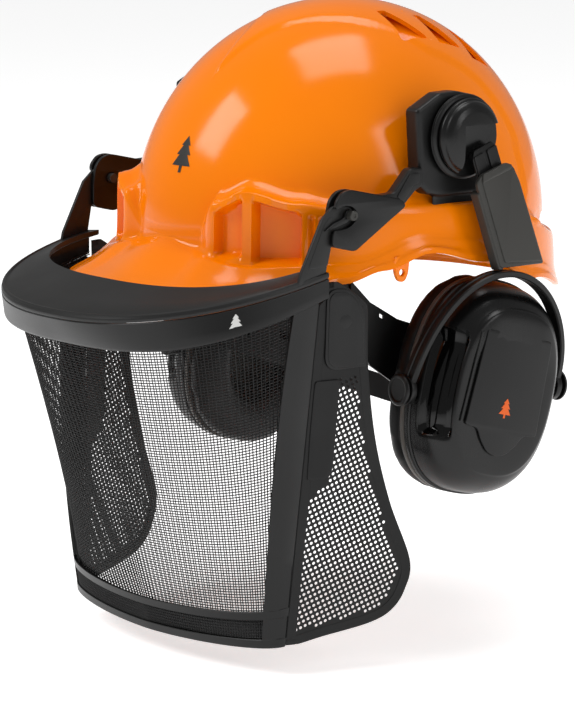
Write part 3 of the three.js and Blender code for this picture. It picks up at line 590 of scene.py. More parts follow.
def build_shell():
    rows = DOME_ROWS + sum(WALL_STEPS)
    bm = grid(400, rows, shell_place)
    bmesh.ops.recalc_face_normals(bm, faces=bm.faces)
    top = max(bm.faces, key=lambda face: face.calc_center_median().z)
    if top.normal.z < 0:
        bmesh.ops.reverse_faces(bm, faces=bm.faces)
    walled(bm, SHELL_WALL)
    ear = rounded([(-50, 22), (-48.5, 12), (-46, 8), (-42, 8), (-39.5, 12), (-38, 24)], 2.5)
    lug = [plate([ear, circle(-44, 13.3, 1.9)], 103.5, 106.1, SIDE_VIEW, 0.5) for _ in SIDES]
    cutters, ramps = vent_shapes()
    more_cutters, more_ramps = vent_shapes()
    bm = cut_away(bm, cutters + [mirrored(cutter) for cutter in more_cutters])
    return joined(bm, lug[0], mirrored(lug[1]), *ramps, *(mirrored(ramp) for ramp in more_ramps))


piece("moulded_shell", build_shell(), ORANGE_ABS, "helmet", ["shell"], sharp=50)


# ---------------------------------------------------------------- visor
def plan_point(curve, t):
    """A point on a moulding's plan curve, t from -90 at the right end to 90 at the left end."""
    half, back, front, z_back, z_front, squareness = curve
    s, c = math.sin(math.radians(t)), max(0.0, math.cos(math.radians(t)))
    deep = c ** (2 / squareness)
    x = half * math.copysign(abs(s) ** (2 / squareness), s)
    return Vector((x, lerp(back, front, deep), lerp(z_back, z_front, deep)))


def level_out(place, t):
    along = place(min(90, t + 0.5)) - place(max(-90, t - 0.5))
    return Vector((along.y, -along.x, 0)).normalized()


def visor_point(t, v, out):
    def place(turn):
        return plan_point(MESH_TOP, turn).lerp(plan_point(MESH_LOW, turn), v)
    return place(t) + level_out(place, t) * out


def swept(section, columns=120, first=-90, last=90):
    """A bar that follows the visor's curve: section(t) gives its closed outline at each place."""
    count = len(section(0))

    @lru_cache(maxsize=None)
    def ring(t):
        return section(t)

    def place(u, v):
        return ring(round(lerp(first, last, u), 6))[round(v * count) % count]
    return closed(grid(columns, count, place))


def guard_section(t):
    inner, outer = plan_point(GUARD_INNER, t), plan_point(GUARD_OUTER, t)
    out = level_out(lambda a: plan_point(GUARD_OUTER, a), t)
    bead = 1.0 * smooth(abs((90 - abs(t))), 0, 6)
    side = [(0, 0, -0.2), (0, 0, 0.5), (0.12, 0, 0.1), (0.5, 0, -0.35), (0.8, 0, 0.1), (0.87, 0, -0.5),
            (0.9, 0, -0.4), (0.925, 0, 0.35), (0.955, 0, 0.8), (0.985, 0, 0.35), (1, -0.15, -0.6),
            (1, 0, -1.2), (1, 0, -2.5), (1, -0.3, -3.2), (0.93, 0, -3.2), (0.5, 0, -3.2), (0.04, 0, -3.2),
            (0, 0, -2.6)]
    return [inner.lerp(outer, share) + out * push + Vector((0, 0, lift if lift < -1 else lift * bead - 0.3))
            for share, push, lift in side]


piece("guard_moulding", swept(guard_section), GREY_NYLON, "visor", ["brow_guard"])


def band_section(t):
    top = plan_point(GUARD_OUTER, t) - Vector((0, 0, GUARD_THICK + 0.3))
    low = plan_point(BAND_LOW, t)
    out = level_out(lambda a: plan_point(GUARD_OUTER, a), t)
    points = ((-0.5, 0), (0, 0.04), (0, 0.3), (0, 0.62), (0, 0.9), (-0.25, 0.965), (-0.8, 1), (-1.7, 1),
              (-2.3, 0.96), (-2.4, 0.5), (-2.4, 0.06), (-2, 0))
    return [top.lerp(low, down) + out * outwards for outwards, down in points]


piece("band_moulding", swept(band_section), BLACK_NYLON, "visor", ["visor_band"])


def strand(steps, centre, thick):
    """A thin wire whose middle line is centre(share); four sides are enough at its size."""
    middle = [centre(k / steps) for k in range(steps + 1)]

    def place(u, v):
        k = round(u * steps)
        along = (middle[min(steps, k + 1)] - middle[max(0, k - 1)]).normalized()
        side = along.cross(Vector((0, 0, 1))).normalized()
        if side.length < 0.5:
            side = Vector((1, 0, 0))
        other = along.cross(side)
        angle = 2 * math.pi * v
        return middle[k] + side * thick * math.cos(angle) + other * thick * math.sin(angle)
    return grid(steps, 4, place)


@lru_cache(maxsize=None)
def mesh_turns():
    """Plan turns at which the upright wires stand, one pitch apart along the middle of the mesh."""
    def place(turn):
        return visor_point(turn, 0.5, 0)
    turns, walked, here = [], 0.0, place(-90)
    for k in range(1, 1801):
        there = place(-90 + k / 10)
        walked += (there - here).length
        here = there
        if walked >= MESH_PITCH:
            turns.append(-90 + k / 10)
            walked = 0.0
    return turns


# steps along a level wire and along an upright one, how far wires bend over each other, and the mesh's depth
LEVEL_STEPS = 120
UPRIGHT_STEPS = 16
WEAVE = 0.22
SCREEN_OUT = -0.45


def level_wire(j, v):
    """A wire across the mesh that passes over and under by turns, starting one way or the other."""
    def middle(share):
        bend = WEAVE * math.cos(math.pi * (LEVEL_STEPS * share + j))
        return visor_point(lerp(-90, 90, share), v, SCREEN_OUT + bend)
    return strand(LEVEL_STEPS, middle, WIRE)


def upright_wire(k, turn):
    bend = WEAVE * (-1) ** k
    return strand(UPRIGHT_STEPS,
                  lambda share: visor_point(turn, lerp(0.002, 0.998, share), SCREEN_OUT - bend), WIRE)


def build_mesh():
    """Plain weave of level and upright wires, one pitch apart."""
    count = round(MESH_DEEP / MESH_PITCH)
    wires = [level_wire(j, lerp(0.004, 0.996, j / (count - 1))) for j in range(count)]
    wires += [upright_wire(k, turn) for k, turn in enumerate(mesh_turns())]
    return joined(*wires)


piece("woven_screen", build_mesh(), WIRE_NYLON, "visor", ["mesh_screen"], sharp=180)


def frame_section(v0, v1, out0, out1, soft=0.4):
    """A flat bar on the mesh surface between two heights, with its edges rounded."""
    edge = soft / 200
    mid = lerp(v0, v1, 0.5)
    points = ((v0 + edge, out1), (mid, out1), (v1 - edge, out1), (v1, out1 - soft), (v1, out0 + soft),
              (v1 - edge, out0), (mid, out0), (v0 + edge, out0), (v0, out0 + soft), (v0, out1 - soft))
    return lambda t: [visor_point(t, v, out) for v, out in points]


def strip(side, low, high, inner, outer, out0, out1):
    """An upright bar beside the mesh, between two plan turns that drift from its top to its foot."""
    def place(u, v):
        share = lerp(low, high, u)
        corner = ((0, 1), (0.06, 1), (0.5, 1), (0.94, 1), (1, 0.75), (1, 0.25), (0.94, 0), (0.5, 0),
                  (0.06, 0), (0, 0.25), (0, 0.75))
        across, deep = corner[round(v * len(corner)) % len(corner)]
        start = lerp(inner[0], inner[1], share)
        end = lerp(outer[0], outer[1], share)
        return visor_point(side * lerp(start, end, across), share, lerp(out0, out1, deep))
    return closed(grid(40, 11, place))


def embossed_weave(out):
    """The mesh's pattern in six level rows, raised on the lower bar between its two smooth edges."""
    def row(v):
        return strand(LEVEL_STEPS, lambda share: visor_point(lerp(-89, 89, share), v, out), EMBOSS)

    def post(turn):
        return strand(1, lambda share: visor_point(turn, lerp(0.914, 0.972, share), out), EMBOSS)
    parts = [row(lerp(0.918, 0.967, j / 5)) for j in range(6)] + [post(turn) for turn in mesh_turns()]
    return joined(*parts)


def build_frame():
    low, high = FRAME_OUT
    bars = [swept(frame_section(FRAME_TOP, 0.912, low, high)),
            swept(frame_section(0.912, 0.975, low, low + 0.7, 0.2)),
            swept(frame_section(0.972, 1.0, low, high)),
            embossed_weave(low + 0.8)]
    for side in (1, -1):
        bars.append(strip(side, 0.02, 0.99, (83.5, 68), (90, 90), low, high))
    return joined(*bars)


piece("visor_rim", build_frame(), BLACK_NYLON, "visor", ["visor_frame"])


def wing_share(z):
    return clamp((MESH_TOP[3] - z) / (MESH_TOP[3] - MESH_LOW[3]))


def frame_edge(z):
    return lerp(MESH_TOP[1], MESH_LOW[1], wing_share(z))


def wing_point(y, z, out):
    v = wing_share(z)
    front = lerp(MESH_TOP[0], MESH_LOW[0], v) + FRAME_OUT[0] + out
    return Vector((front + lerp(0.18, 0.32, v) * (y - frame_edge(z)), y, z))


def wing_rear(z):
    return straight([(depth, y) for depth, y in WING_REAR], -z)


def wing_front(z):
    return -99.6 if z >= 2 else frame_edge(z) + 0.5


def wing_inset(y, z):
    """Distance inside the wing's free edge, in mm; negative outside it."""
    if not WING["low"] < z < WING["high"] or y > wing_rear(z):
        return -1
    spot = Vector((y, z))
    return min((point - spot).length for point in wing_outline())


def wing_room(y, z):
    """Distance inside the wing's perforated field, in mm; negative outside it."""
    border = WING["border"]
    strip_width = lerp(16, 4, smooth(-z, 96, 110))
    return min(wing_inset(y, z) - border, y - wing_front(z) - strip_width, -40 - z)


def build_wing():
    """A sheet of square cells, each with a round hole inside the field, between solid borders."""
    pitch = WING["pitch"]
    turn = math.radians(WING["turn"])
    count = 92
    bm = bmesh.new()
    bmesh.ops.create_grid(bm, x_segments=count, y_segments=count, size=pitch * count / 2)
    centre = Vector(WING["middle"])
    for vert in bm.verts:
        x, y = vert.co.x, vert.co.y
        vert.co = Vector((centre.x + x * math.cos(turn) - y * math.sin(turn),
                          centre.y + x * math.sin(turn) + y * math.cos(turn), 0))
    outside = []
    field = []
    for face in bm.faces:
        y, z = face.calc_center_median().xy
        if wing_inset(y, z) < 2.4 or y < wing_front(z) + 1.5:
            outside.append(face)
        elif wing_room(y, z) > 0:
            field.append(face)
    bmesh.ops.delete(bm, geom=outside, context="FACES")
    bmesh.ops.inset_individual(bm, faces=field, thickness=(pitch / 2 - WING["hole"] * 0.78), depth=0)
    holes = [face for face in field if face.is_valid]
    middles = {face: face.calc_center_median() for face in holes}
    edges = list({e for f in holes for e in f.edges})
    bmesh.ops.subdivide_edges(bm, edges=edges, cuts=1)
    for hole, middle in middles.items():
        for vert in hole.verts:
            vert.co = middle + (vert.co - middle).normalized() * WING["hole"]
    bmesh.ops.delete(bm, geom=holes, context="FACES")
    for vert in bm.verts:
        vert.co = wing_point(vert.co.x, vert.co.y, 0.3) * MM
    bmesh.ops.recalc_face_normals(bm, faces=bm.faces)
    walled(bm, 0.7)
    return bm


@lru_cache(maxsize=None)
def wing_outline():
    """The wing's edge from its top, down its rear and along its foot, as (y, z)."""
    corners = [(-99.5, WING["high"])] + [(y, -depth) for depth, y in WING_REAR] + [(-117, WING["low"])]
    return through(corners, [10] * (len(corners) - 1))


def build_hem(free=True):
    """A solid hem along the wing's free edge, or along its front edge beside the mesh."""
    line = wing_outline()
    if not free:
        line = [Vector((wing_front(z), z)) for z in range(WING["low"], WING["high"] + 1, 3)]
    count = len(line) - 1
    ring = ((0, 0.25), (0, 0.75), (0.06, 1), (0.5, 1), (0.94, 1), (1, 0.75), (1, 0.25), (0.94, 0),
            (0.5, 0), (0.06, 0))

    def place(u, v):
        k = round(u * count)
        along = (line[min(count, k + 1)] - line[max(0, k - 1)]).normalized()
        inward = Vector((along.y, -along.x))
        if inward.x * (1 if free else -1) > 0 and abs(inward.x) > 0.5:
            inward = -inward
        across, deep = ring[round(v * len(ring)) % len(ring)]
        y, z = line[k] + inward * across * 5.5
        return wing_point(y, clamp(z, WING["low"], WING["high"]), deep * WING["wall"])
    return closed(grid(count, len(ring), place))


def pad(outline, out0, out1, soft=0.35):
    """A raised pad on the wing inside an outline given as (y, z)."""
    bm = plate([outline], out0, out1, Matrix(), soft)
    long = [edge for edge in bm.edges if edge.calc_length() > 12 * MM]
    bmesh.ops.subdivide_edges(bm, edges=long, cuts=3, use_grid_fill=True)
    for vert in bm.verts:
        y, z, out = vert.co / MM
        vert.co = wing_point(y, z, out) * MM
    return bm


STRIP_PAD = rounded([(-104.5, -41), (-89.5, -41), (-92.5, -90), (-95, -96), (-107.5, -96), (-106.5, -70)], 2)
PATCH_LINE = rounded([(-99, 9), (-86, 9), (-79, 3), (-75.4, -6), (-74.2, -33), (-74.2, -35), (-76, -35),
                      (-99, -36)], 9, 8)
PATCH_INSIDE = rounded([(-97.6, 7.4), (-86.6, 7.4), (-80.4, 2), (-77, -6), (-75.6, -32), (-75.6, -33.6),
                        (-77, -33.6), (-97.6, -34.6)], 8, 8)


def build_sheet():
    return joined(build_wing(), build_hem(), build_hem(free=False), pad(STRIP_PAD, 1.0, 1.9))



pair("wing_sheet", build_sheet, SHEET_BLACK, "visor", "plastic_black", ["side_wing"])


def build_patch():
    disc = circle(-87.5, -9, 3.6)
    return joined(pad(PATCH_LINE, 1.6, 2.1), pad(PATCH_INSIDE, 2.0, 2.5), pad(disc, 2.3, 2.65, 0.15))


pair("patch_plate", build_patch, BLACK_NYLON, "visor", "plastic_black", ["wing_patch"])


# outlines of the hinge bracket's plates in the side view
BRACKET_REAR = [(-92, 62), (-86, 63), (-50, 55), (-46, 51), (-58, 44), (-83, 29)]
BRACKET_HOOK = [(-99, 33), (-98.6, 41.5), (-91.5, 41.8), (-86.5, 42.8), (-82.4, 46), (-82, 50.5),
                (-84.5, 53.2), (-90, 54.6), (-96.5, 52.5), (-96.5, 57)]
BRACKET_STRUT = [(-66, 40), (-66, 58), (-55, 58.5), (-43, 71), (-34.5, 71), (-34.5, 60.5), (-39, 59),
                 (-48, 51),
                 (-58, 44)]
BRACKET_GROOVE = [(-53, 56.5), (-43.5, 68.5), (-37, 68.5), (-37, 63), (-41, 62), (-49, 53)]
BRACKET_TONGUE = [(-104, 41.5), (-96, 43), (-88, 45.2), (-83.6, 48), (-84.5, 51.5), (-88.5, 51.8),
                  (-90, 47.8),
                  (-97, 45.6)]


def eye(radius, first, last, steps=16):
    turns = [math.radians(lerp(first, last, k / steps)) for k in range(steps + 1)]
    return [(HINGE[0] + radius * math.cos(turn), HINGE[1] + radius * math.sin(turn)) for turn in turns]


def build_visor_arm():
    line = eye(8, 300, 480) + [(-97, 54), (-104, 48), (-119, 19.3), (-120.5, 13), (-101.5, 17), (-98.5, 33)]
    rib = rounded([(-100.5, 22), (-114, 22), (-102.5, 45.5), (-97.5, 50), (-97, 36)], 2)
    return joined(plate([line, circle(*HINGE, 3.0)], 106.9, 109.1, SIDE_VIEW, 0.5),
                  plate([rib], 108.8, 109.3, SIDE_VIEW, 0.2))


pair("lift_arm", build_visor_arm, GREY_NYLON, "visor", "guard", ["visor_arm"])


def build_pin():
    line = [(0, -6.4), (2.5, -6.4), (2.7, -6.2), (2.7, 6.2), (2.4, 6.6), (1.2, 6.6), (1.0, 6.2), (0, 6.2)]
    return turned(line, at(108.1, *HINGE) @ SIDE_VIEW, 40)


pair("hinge_pin", build_pin, ARM_GREY, "helmet", "plastic_black", ["visor_pivot_pin"])


def build_bracket():
    inner = rounded([(-99, 33), (-99, 46), (-97, 57)] + BRACKET_REAR, 3.5)
    outer = rounded(BRACKET_HOOK + BRACKET_REAR, 2.6)
    return joined(plate([inner, circle(*HINGE, 3)], 104.2, 106.5, SIDE_VIEW, 0.5),
                  plate([outer], 109.5, 112, SIDE_VIEW, 0.6),
                  plate([rounded(BRACKET_TONGUE, 1.6)], 109.5, 111, SIDE_VIEW, 0.4),
                  plate([rounded(BRACKET_STRUT, 2)], 105, 111.4, SIDE_VIEW, 0.8),
                  plate([rounded(BRACKET_GROOVE, 1.5)], 111, 111.9, SIDE_VIEW, 0.3))


pair("bracket_plates", build_bracket, BLACK_NYLON, "helmet", "plastic_black", ["hinge_bracket"])

# a plain pine tree, printed where such helmets carry a mark: half its outline, from its top to its foot
PINE = ((0, 10), (3.4, 5.4), (1.9, 5.4), (5.2, 0.8), (3.0, 0.8), (6.8, -4.6), (1.0, -4.6), (1.0, -8), (0, -8))


def printed(name, size, place, material, body):
    """A thin printed tree laid on a curved face, where place(u, v, out) gives the face's points in mm."""
    half = [(x * size, y * size) for x, y in PINE]
    bm = plate([half[:-1] + [(-x, y) for x, y in half[:0:-1]]], 0.02, 0.14, Matrix(), 0.01)
    bmesh.ops.triangulate(bm, faces=bm.faces)
    bmesh.ops.subdivide_edges(bm, edges=[e for e in bm.edges if e.calc_length() > 2 * MM], cuts=3)
    for vert in bm.verts:
        vert.co = Vector(place(*(vert.co / MM))) * MM
    return piece(name, bm, material, body)


def on_dome(u, v, out):
    turn = math.degrees(u / plan_radius(0)) + 3
    z = 74 + v
    radius = dome_radius(turn, z) + out + 0.1
    return radius * math.sin(math.radians(turn)), -radius * math.cos(math.radians(turn)), z


def on_band(u, v, out):
    turn = 62 + u / 1.55
    top = plan_point(GUARD_OUTER, turn) - Vector((0, 0, GUARD_THICK + 0.3))
    middle = top.lerp(plan_point(BAND_LOW, turn), 0.5)
    return middle + level_out(lambda a: plan_point(GUARD_OUTER, a), turn) * (out + 0.15) + Vector((0, 0, v))


printed("shell_print", 1.1, on_dome, PRINT_DARK, "helmet")
printed("band_print", 0.5, on_band, PRINT_WHITE, "visor")

# ---------------------------------------------------------------- ear muffs
pair("hub_mount", lambda: worn("adapter_left", 0.8, 14), BLACK_NYLON, "helmet", "plastic_black", ["adapter"],
     sharp=180)


def hub_turned(profile, steps=96):
    """A part turned about the hub's axis from (place along X, radius) points."""
    line = rounded([(radius, x) for x, radius in profile], 0.7, 3, closed=False)
    return turned(line, at(0, *HUB) @ SIDE_VIEW, steps)


RING_LINE = ((108.9, 0), (108.9, 20), (110.1, 23.5), (110.8, 23.5), (111.1, 22.9), (111.5, 22.9),
             (111.8, 23.5), (112.3, 23.5), (113.4, 22), (113.4, 0))
CAP_LINE = ((113.8, 0), (113.8, 21), (115.4, 21.6), (116.8, 21.6), (117.6, 20.2), (119.4, 19.6),
            (121.2, 17.6), (122.4, 14.6), (122.9, 8), (123.1, 0))
pair("turn_ring", lambda: hub_turned(RING_LINE), BLACK_NYLON, "muff_hub", "plastic_black", ["hub_ring"])


def build_cap():
    """The cap's disc with the window that the sliding bar passes through."""
    window = rounded([(-13, 93), (23, 93), (23, 60), (-13, 60)], 1)
    return cut_away(hub_turned(CAP_LINE), [plate([window], 114.8, 126, SIDE_VIEW, 0.01)])


pair("hub_cover", build_cap, SATIN_BLACK, "muff_swing", "plastic_black", ["hub_cap"])

DOWN = (ARM_LOW - ARM_TOP).normalized()
ACROSS = (Vector((0, 1, 0)) - DOWN * DOWN.y).normalized()
ARM_TURN = Matrix([ACROSS, -DOWN, ACROSS.cross(-DOWN)]).transposed().to_4x4()
ARM_VIEW = Matrix.Translation(ARM_TOP * MM) @ ARM_TURN
ARM_LONG = (ARM_LOW - ARM_TOP).length


def build_bar():
    bar = rounded([(-9.5, -38), (9.5, -38), (9.5, 14), (7, 18), (-7, 18), (-9.5, 14)], 1)
    rails = [rounded([(x, -36), (x + 7.4, -36), (x + 7.4, 15), (x, 15)], 0.8) for x in (-8.8, 1.4)]
    return joined(plate([bar], -4.4, -2.9, ARM_VIEW, 0.4),
                  *(plate([rail], -3.2, -2.0, ARM_VIEW, 0.3) for rail in rails))


def build_arm():
    """A sprung arm: a broad outer face over a channel with deep flanges."""
    foot = 6.5 - ARM_LONG
    line = rounded([(-14.5, 2), (-15, foot), (16, foot - 11), (15.6, -10), (14, 0), (10, 4), (-9, 5)], 2)
    face = rounded([(-11, 2), (-11.4, foot + 1.5), (14.8, foot - 9), (14.2, -10), (12.4, 0.6)], 1.6)
    lip = rounded([(-9.5, 5.2), (9, 4.4), (12.6, 1.6), (11, -0.4), (-11, 0.8)], 1.2)
    flange = rounded([(-15.6, -4), (-16, foot - 1), (-12.6, foot - 2), (-12.2, -3)], 1)
    return joined(plate([line], -1.7, 1.0, ARM_VIEW, 0.7), plate([face], 0.4, 1.9, ARM_VIEW, 0.7),
                  plate([lip], 0.4, 2.3, ARM_VIEW, 0.6), plate([flange], -6.5, 0.4, ARM_VIEW, 0.8))


pair("sliding_bar", build_bar, BLACK_NYLON, "muff_swing", "plastic_black", ["slide_bar"])
pair("spring_arm", build_arm, ARM_GREY, "muff_fork", "plastic_black", ["muff_arm"])


def turn_x(angle):
    return Matrix.Rotation(math.radians(angle), 4, "X")


MUFF = Matrix.Translation(CUP["centre"] * MM) @ Matrix.Rotation(math.radians(-CUP["toe_in"]), 4, "Z")
YOKE_VIEW = MUFF @ turn_x(-YOKE["tilt"])
CUP_VIEW = MUFF @ turn_x(-CUP["lean"])
# local Z to Y
ALONG_Y = Matrix(((1, 0, 0, 0), (0, 0, 1, 0), (0, -1, 0, 0), (0, 0, 0, 1)))


def build_yoke():
    """A sprung fork: a rounded strip with a groove down its outer face, ending in two eyes."""
    r, x = YOKE["thick"] / 2, YOKE["across"] / 2
    ring = ((r, -x), (r, -x + 0.8), (r, -1.5), (r - 0.7, -1.1), (r - 0.7, 1.1), (r, 1.5), (r, x - 0.8),
            (r - 0.6, x), (-r + 0.6, x), (-r, x - 0.8), (-r, -x + 0.8), (-r + 0.6, -x), (r - 0.6, -x))

    def place(u, v):
        angle = math.pi * u
        lift = math.sin(angle)
        bow = YOKE["bow"] * lift ** 0.7
        out, along = ring[round(v * len(ring)) % len(ring)]
        return Vector((bow + along, (YOKE["reach"] + out) * math.cos(angle), (YOKE["rise"] + out) * lift))
    arch = closed(grid(120, len(ring), place))
    parts = [arch]
    for side in (-1, 1):
        disc = rounded([(5.6, -r), (8.5, -r), (8.5, r), (5.6, r)], 0.6, 3)
        bm = turned(disc + [disc[0]], Matrix.Translation((0, side * YOKE["reach"] * MM, 0)) @ ALONG_Y, 48)
        parts.append(bm)
    whole = joined(*parts)
    whole.transform(YOKE_VIEW)
    return whole


pair("fork", build_yoke, BLACK_NYLON, "muff_fork", "plastic_black", ["yoke"])


def build_knob(side):
    line = rounded([(0, 50), (5.2, 50), (5.2, 55.4), (6.4, 55.8), (6.4, 56.4), (9, 56.8), (9, 58),
                    (8.2, 58.6), (6.8, 58.6), (6.2, 58.2), (0, 58.2)], 0.4, 3, closed=False)
    bm = turned(line, ALONG_Y if side > 0 else Matrix.Rotation(math.pi, 4, "Z") @ ALONG_Y, 48)
    bm.transform(YOKE_VIEW)
    return bm


pair("knob_rear", lambda: build_knob(1), SATIN_BLACK, "muff_cup", "plastic_black", ["pivot_knob_rear"])
pair("knob_front", lambda: build_knob(-1), SATIN_BLACK, "muff_cup", "plastic_black", ["pivot_knob_front"])

# the cup's section as (depth, change of half width, change of half height), from its face round to its inside
CUP_LINE = ((24.2, -40, -50), (24.2, -14.5, -18.5), (22.4, -9.6, -12.2), (17, -4.6, -6.2), (9, -1.2, -1.7),
            (1, 0, 0), (-2, 0.2, 0.2), (-2.4, 1.2, 1.2), (-5.6, 1.2, 1.2), (-6, -0.6, -0.6), (-6, -4, -4),
            (6, -5, -5), (14, -9, -10.5), (20.5, -14, -18), (20.6, -40, -50))
CUP_STEPS = (8, 6, 7, 7, 7, 3, 2, 3, 2, 2, 4, 4, 4, 5)


def hollow(y, z, depth):
    """Depth of the polished pocket moulded into the cup's front flank."""
    if y > 0:
        return 0.0
    across = smooth(depth, 3, 7) * (1 - smooth(depth, 19, 23))
    return 5.5 * across * smooth(z, -33, -26) * (1 - smooth(z, 18, 34)) * smooth(-y, 22, 33)


def cup_place(u, v):
    line = cup_sections()
    depth, dw, dh = line[round(v * (len(line) - 1))]
    y, z = oval(CUP["wide"] + dw, CUP["high"] + dh, u)
    k = round(v * (len(line) - 1))
    if k < sum(CUP_STEPS[:7]):
        inward = hollow(y, z, depth)
        y += inward
        top = smooth(z, 12, 30) * (1 - smooth(z, 40, 58))
        depth += 1.6 * top * (1 - smooth(abs(y), 16, 36)) * (1 if k < 14 else 0)
    return Vector((depth, y, z))


@lru_cache(maxsize=None)
def cup_sections():
    return through(CUP_LINE, CUP_STEPS)


def build_cup():
    bm = closed(grid(144, len(cup_sections()) - 1, cup_place))
    bm.transform(CUP_VIEW)
    return bm


def polish(obj):
    """Gives the faces of the pocket in the cup's flank their polished finish."""
    obj.data.materials.append(GLOSS_BLACK)
    view = CUP_VIEW if obj.name.endswith("left") else Matrix.Diagonal((-1, 1, 1, 1)) @ CUP_VIEW
    back = view.inverted()
    for face in obj.data.polygons:
        local = back @ face.center / MM
        if hollow(local.y - 5, local.z, local.x) > 1.2:
            face.material_index = 1


for cup in pair("cup_moulding", build_cup, SATIN_BLACK, "muff_cup", "plastic_black", ["cup_shell"], sharp=60):
    polish(cup)


FACE_OUT = 25.9


def build_face():
    """The face plate with its waisted foot, and the double line down its front edge."""
    foot = [(-13, -28), (-7, -34), (0, -36), (7, -34), (13, -28)]
    line = [(-24, 33), (0, 34.6), (24, 33), (26.5, -21), (17, -22)] + foot[::-1] + [(-17, -22), (-26.5, -21)]
    rail = rounded([(-27.8, 31), (-26.2, 31), (-28.4, -20), (-30, -20)], 0.5)
    whole = joined(plate([rounded(line, 2.2)], 24.3, FACE_OUT, SIDE_VIEW, 0.5),
                   plate([rail], 22.6, 25.2, SIDE_VIEW, 0.4))
    whole.transform(CUP_VIEW)
    return whole


pair("face_moulding", build_face, BLACK_NYLON, "muff_cup", "plastic_black", ["cup_face_plate"])


def on_cup(mirror):
    return lambda u, v, out: mirror @ CUP_VIEW @ (Vector((FACE_OUT + out, u, v - 9)) * MM) / MM


for side, sign in SIDES:
    printed(f"cup_print_{side}", 0.62, on_cup(Matrix.Diagonal((sign, 1, 1, 1))), PRINT_ORANGE,
            f"muff_cup_{side}")


def oval_ring(sections, columns=120):
    def place(u, v):
        depth, wide, high = sections[round(v * len(sections)) % len(sections)]
        y, z = oval(wide, high, u)
        return Vector((depth, y, z))
    bm = closed(grid(columns, len(sections), place))
    bm.transform(CUP_VIEW)
    return bm


WIDE, HIGH = CUP["wide"], CUP["high"]
RIM_LINE = rounded([(-6.3, WIDE + 1.5, HIGH + 1.5), (-9.4, WIDE + 1.5, HIGH + 1.5), (-9.4, 24, 38),
                    (-6.3, 24, 38)], 0.8)
pair("seal_rim", lambda: oval_ring(RIM_LINE), RIM_GREY, "muff_cup", "rim_grey", ["cushion_plate"])

CUSHION_KNOTS = ((-9.9, 30, 45), (-9.9, 44.5, 59.5), (-12, 46.6, 61.2), (-15.5, 47.2, 61.8), (-19, 46.6, 61),
                 (-22.6, 43.4, 57.8), (-24.6, 37, 51), (-24.6, 30, 44.6), (-22.6, 23.5, 38.2),
                 (-18, 20.6, 34.8), (-12, 20.8, 35), (-9.9, 23, 38))
CUSHION_LINE = through(CUSHION_KNOTS + CUSHION_KNOTS[:1], (2, 3, 3, 3, 3, 4, 4, 4, 3, 3, 3, 2))[:-1]
VOXEL = 4.5
PRESSURE = 4
SWELL_FRAMES = 20
SWELL_LIMIT = 1.2


def inflated(obj):
    """Swells a padded piece with a short cloth simulation, capped so that it stays in its space."""
    before = bpy.context.scene.frame_current
    obj.parent = None
    remesh = obj.modifiers.new("even", "REMESH")
    remesh.mode = "VOXEL"
    remesh.voxel_size = VOXEL * MM
    graph = bpy.context.evaluated_depsgraph_get()
    obj.data = bpy.data.meshes.new_from_object(obj.evaluated_get(graph))
    obj.modifiers.clear()
    rest = [v.co.copy() for v in obj.data.vertices]
    cloth = obj.modifiers.new("skin", "CLOTH")
    cloth.settings.use_pressure = True
    cloth.settings.uniform_pressure_force = PRESSURE
    cloth.settings.effector_weights.gravity = 0
    cloth.settings.quality = 5
    for step in range(1, SWELL_FRAMES + 1):
        bpy.context.scene.frame_set(step)
    graph = bpy.context.evaluated_depsgraph_get()
    swollen = [v.co.copy() for v in obj.evaluated_get(graph).data.vertices]
    obj.modifiers.clear()
    for vert, start, end in zip(obj.data.vertices, rest, swollen):
        move = end - start
        vert.co = start + move * min(1, SWELL_LIMIT * MM / max(move.length, WELD))
    bpy.context.scene.frame_set(before)
    round_off = obj.modifiers.new("round", "SUBSURF")
    round_off.levels = round_off.render_levels = 1
    obj.data.shade_smooth()


cushions = pair("ear_pad", lambda: oval_ring(CUSHION_LINE), VINYL, "muff_cup", "cushion", ["ear_cushion"],
                sharp=180)
for cushion in cushions:
    holder = cushion.parent
    inflated(cushion)
    cushion.parent = holder


def build_foam():
    bm = grid(64, 12, lambda u, v: Vector((lerp(4.2, 11.8, v), *oval(lerp(33, 31, v), lerp(49, 46, v), u))))
    closed(bm)
    bm.transform(CUP_VIEW)
    return bm


for foam in pair("foam_pad", build_foam, FOAM, "muff_cup", "foam", ["foam_liner"]):
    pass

# ---------------------------------------------------------------- harness
MID = (HEAD["low"] + HEAD["high"]) / 2
HALF = (HEAD["high"] - HEAD["low"]) / 2


def strap_ring(point, out, low, high, thick):
    """A strap's section: flat faces with rounded edges."""
    t = thick / 2
    ring = ((t, high - 0.8), (t, lerp(high, low, 0.5)), (t, low + 0.8), (t * 0.6, low), (-t * 0.6, low),
            (-t, low + 0.8),
            (-t, lerp(high, low, 0.5)), (-t, high - 0.8), (-t * 0.6, high), (t * 0.6, high))
    return [point + out * side + Vector((0, 0, lift)) for side, lift in ring]


def band_place(angle, inset=0.0):
    c, s = math.cos(math.radians(angle)), math.sin(math.radians(angle))
    out = Vector((c / HEAD["a"], -s / HEAD["b"], 0)).normalized()
    return Vector((HEAD["a"] * c, -HEAD["b"] * s, MID)) - out * inset, out


def along_rings(rings):
    count = len(rings[0])
    return closed(grid(len(rings) - 1, count, lambda u,
                       v: rings[round(u * (len(rings) - 1))][round(v * count) % count]))


def build_headband():
    rings = []
    for k in range(61):
        point, out = band_place(lerp(HEAD["end"], 180 - HEAD["end"], k / 60))
        rings.append(strap_ring(point, out, -HALF, HALF, HEAD["strap"]))
    return along_rings(rings)


piece("head_band", build_headband(), BLACK_NYLON, "helmet", ["headband"])


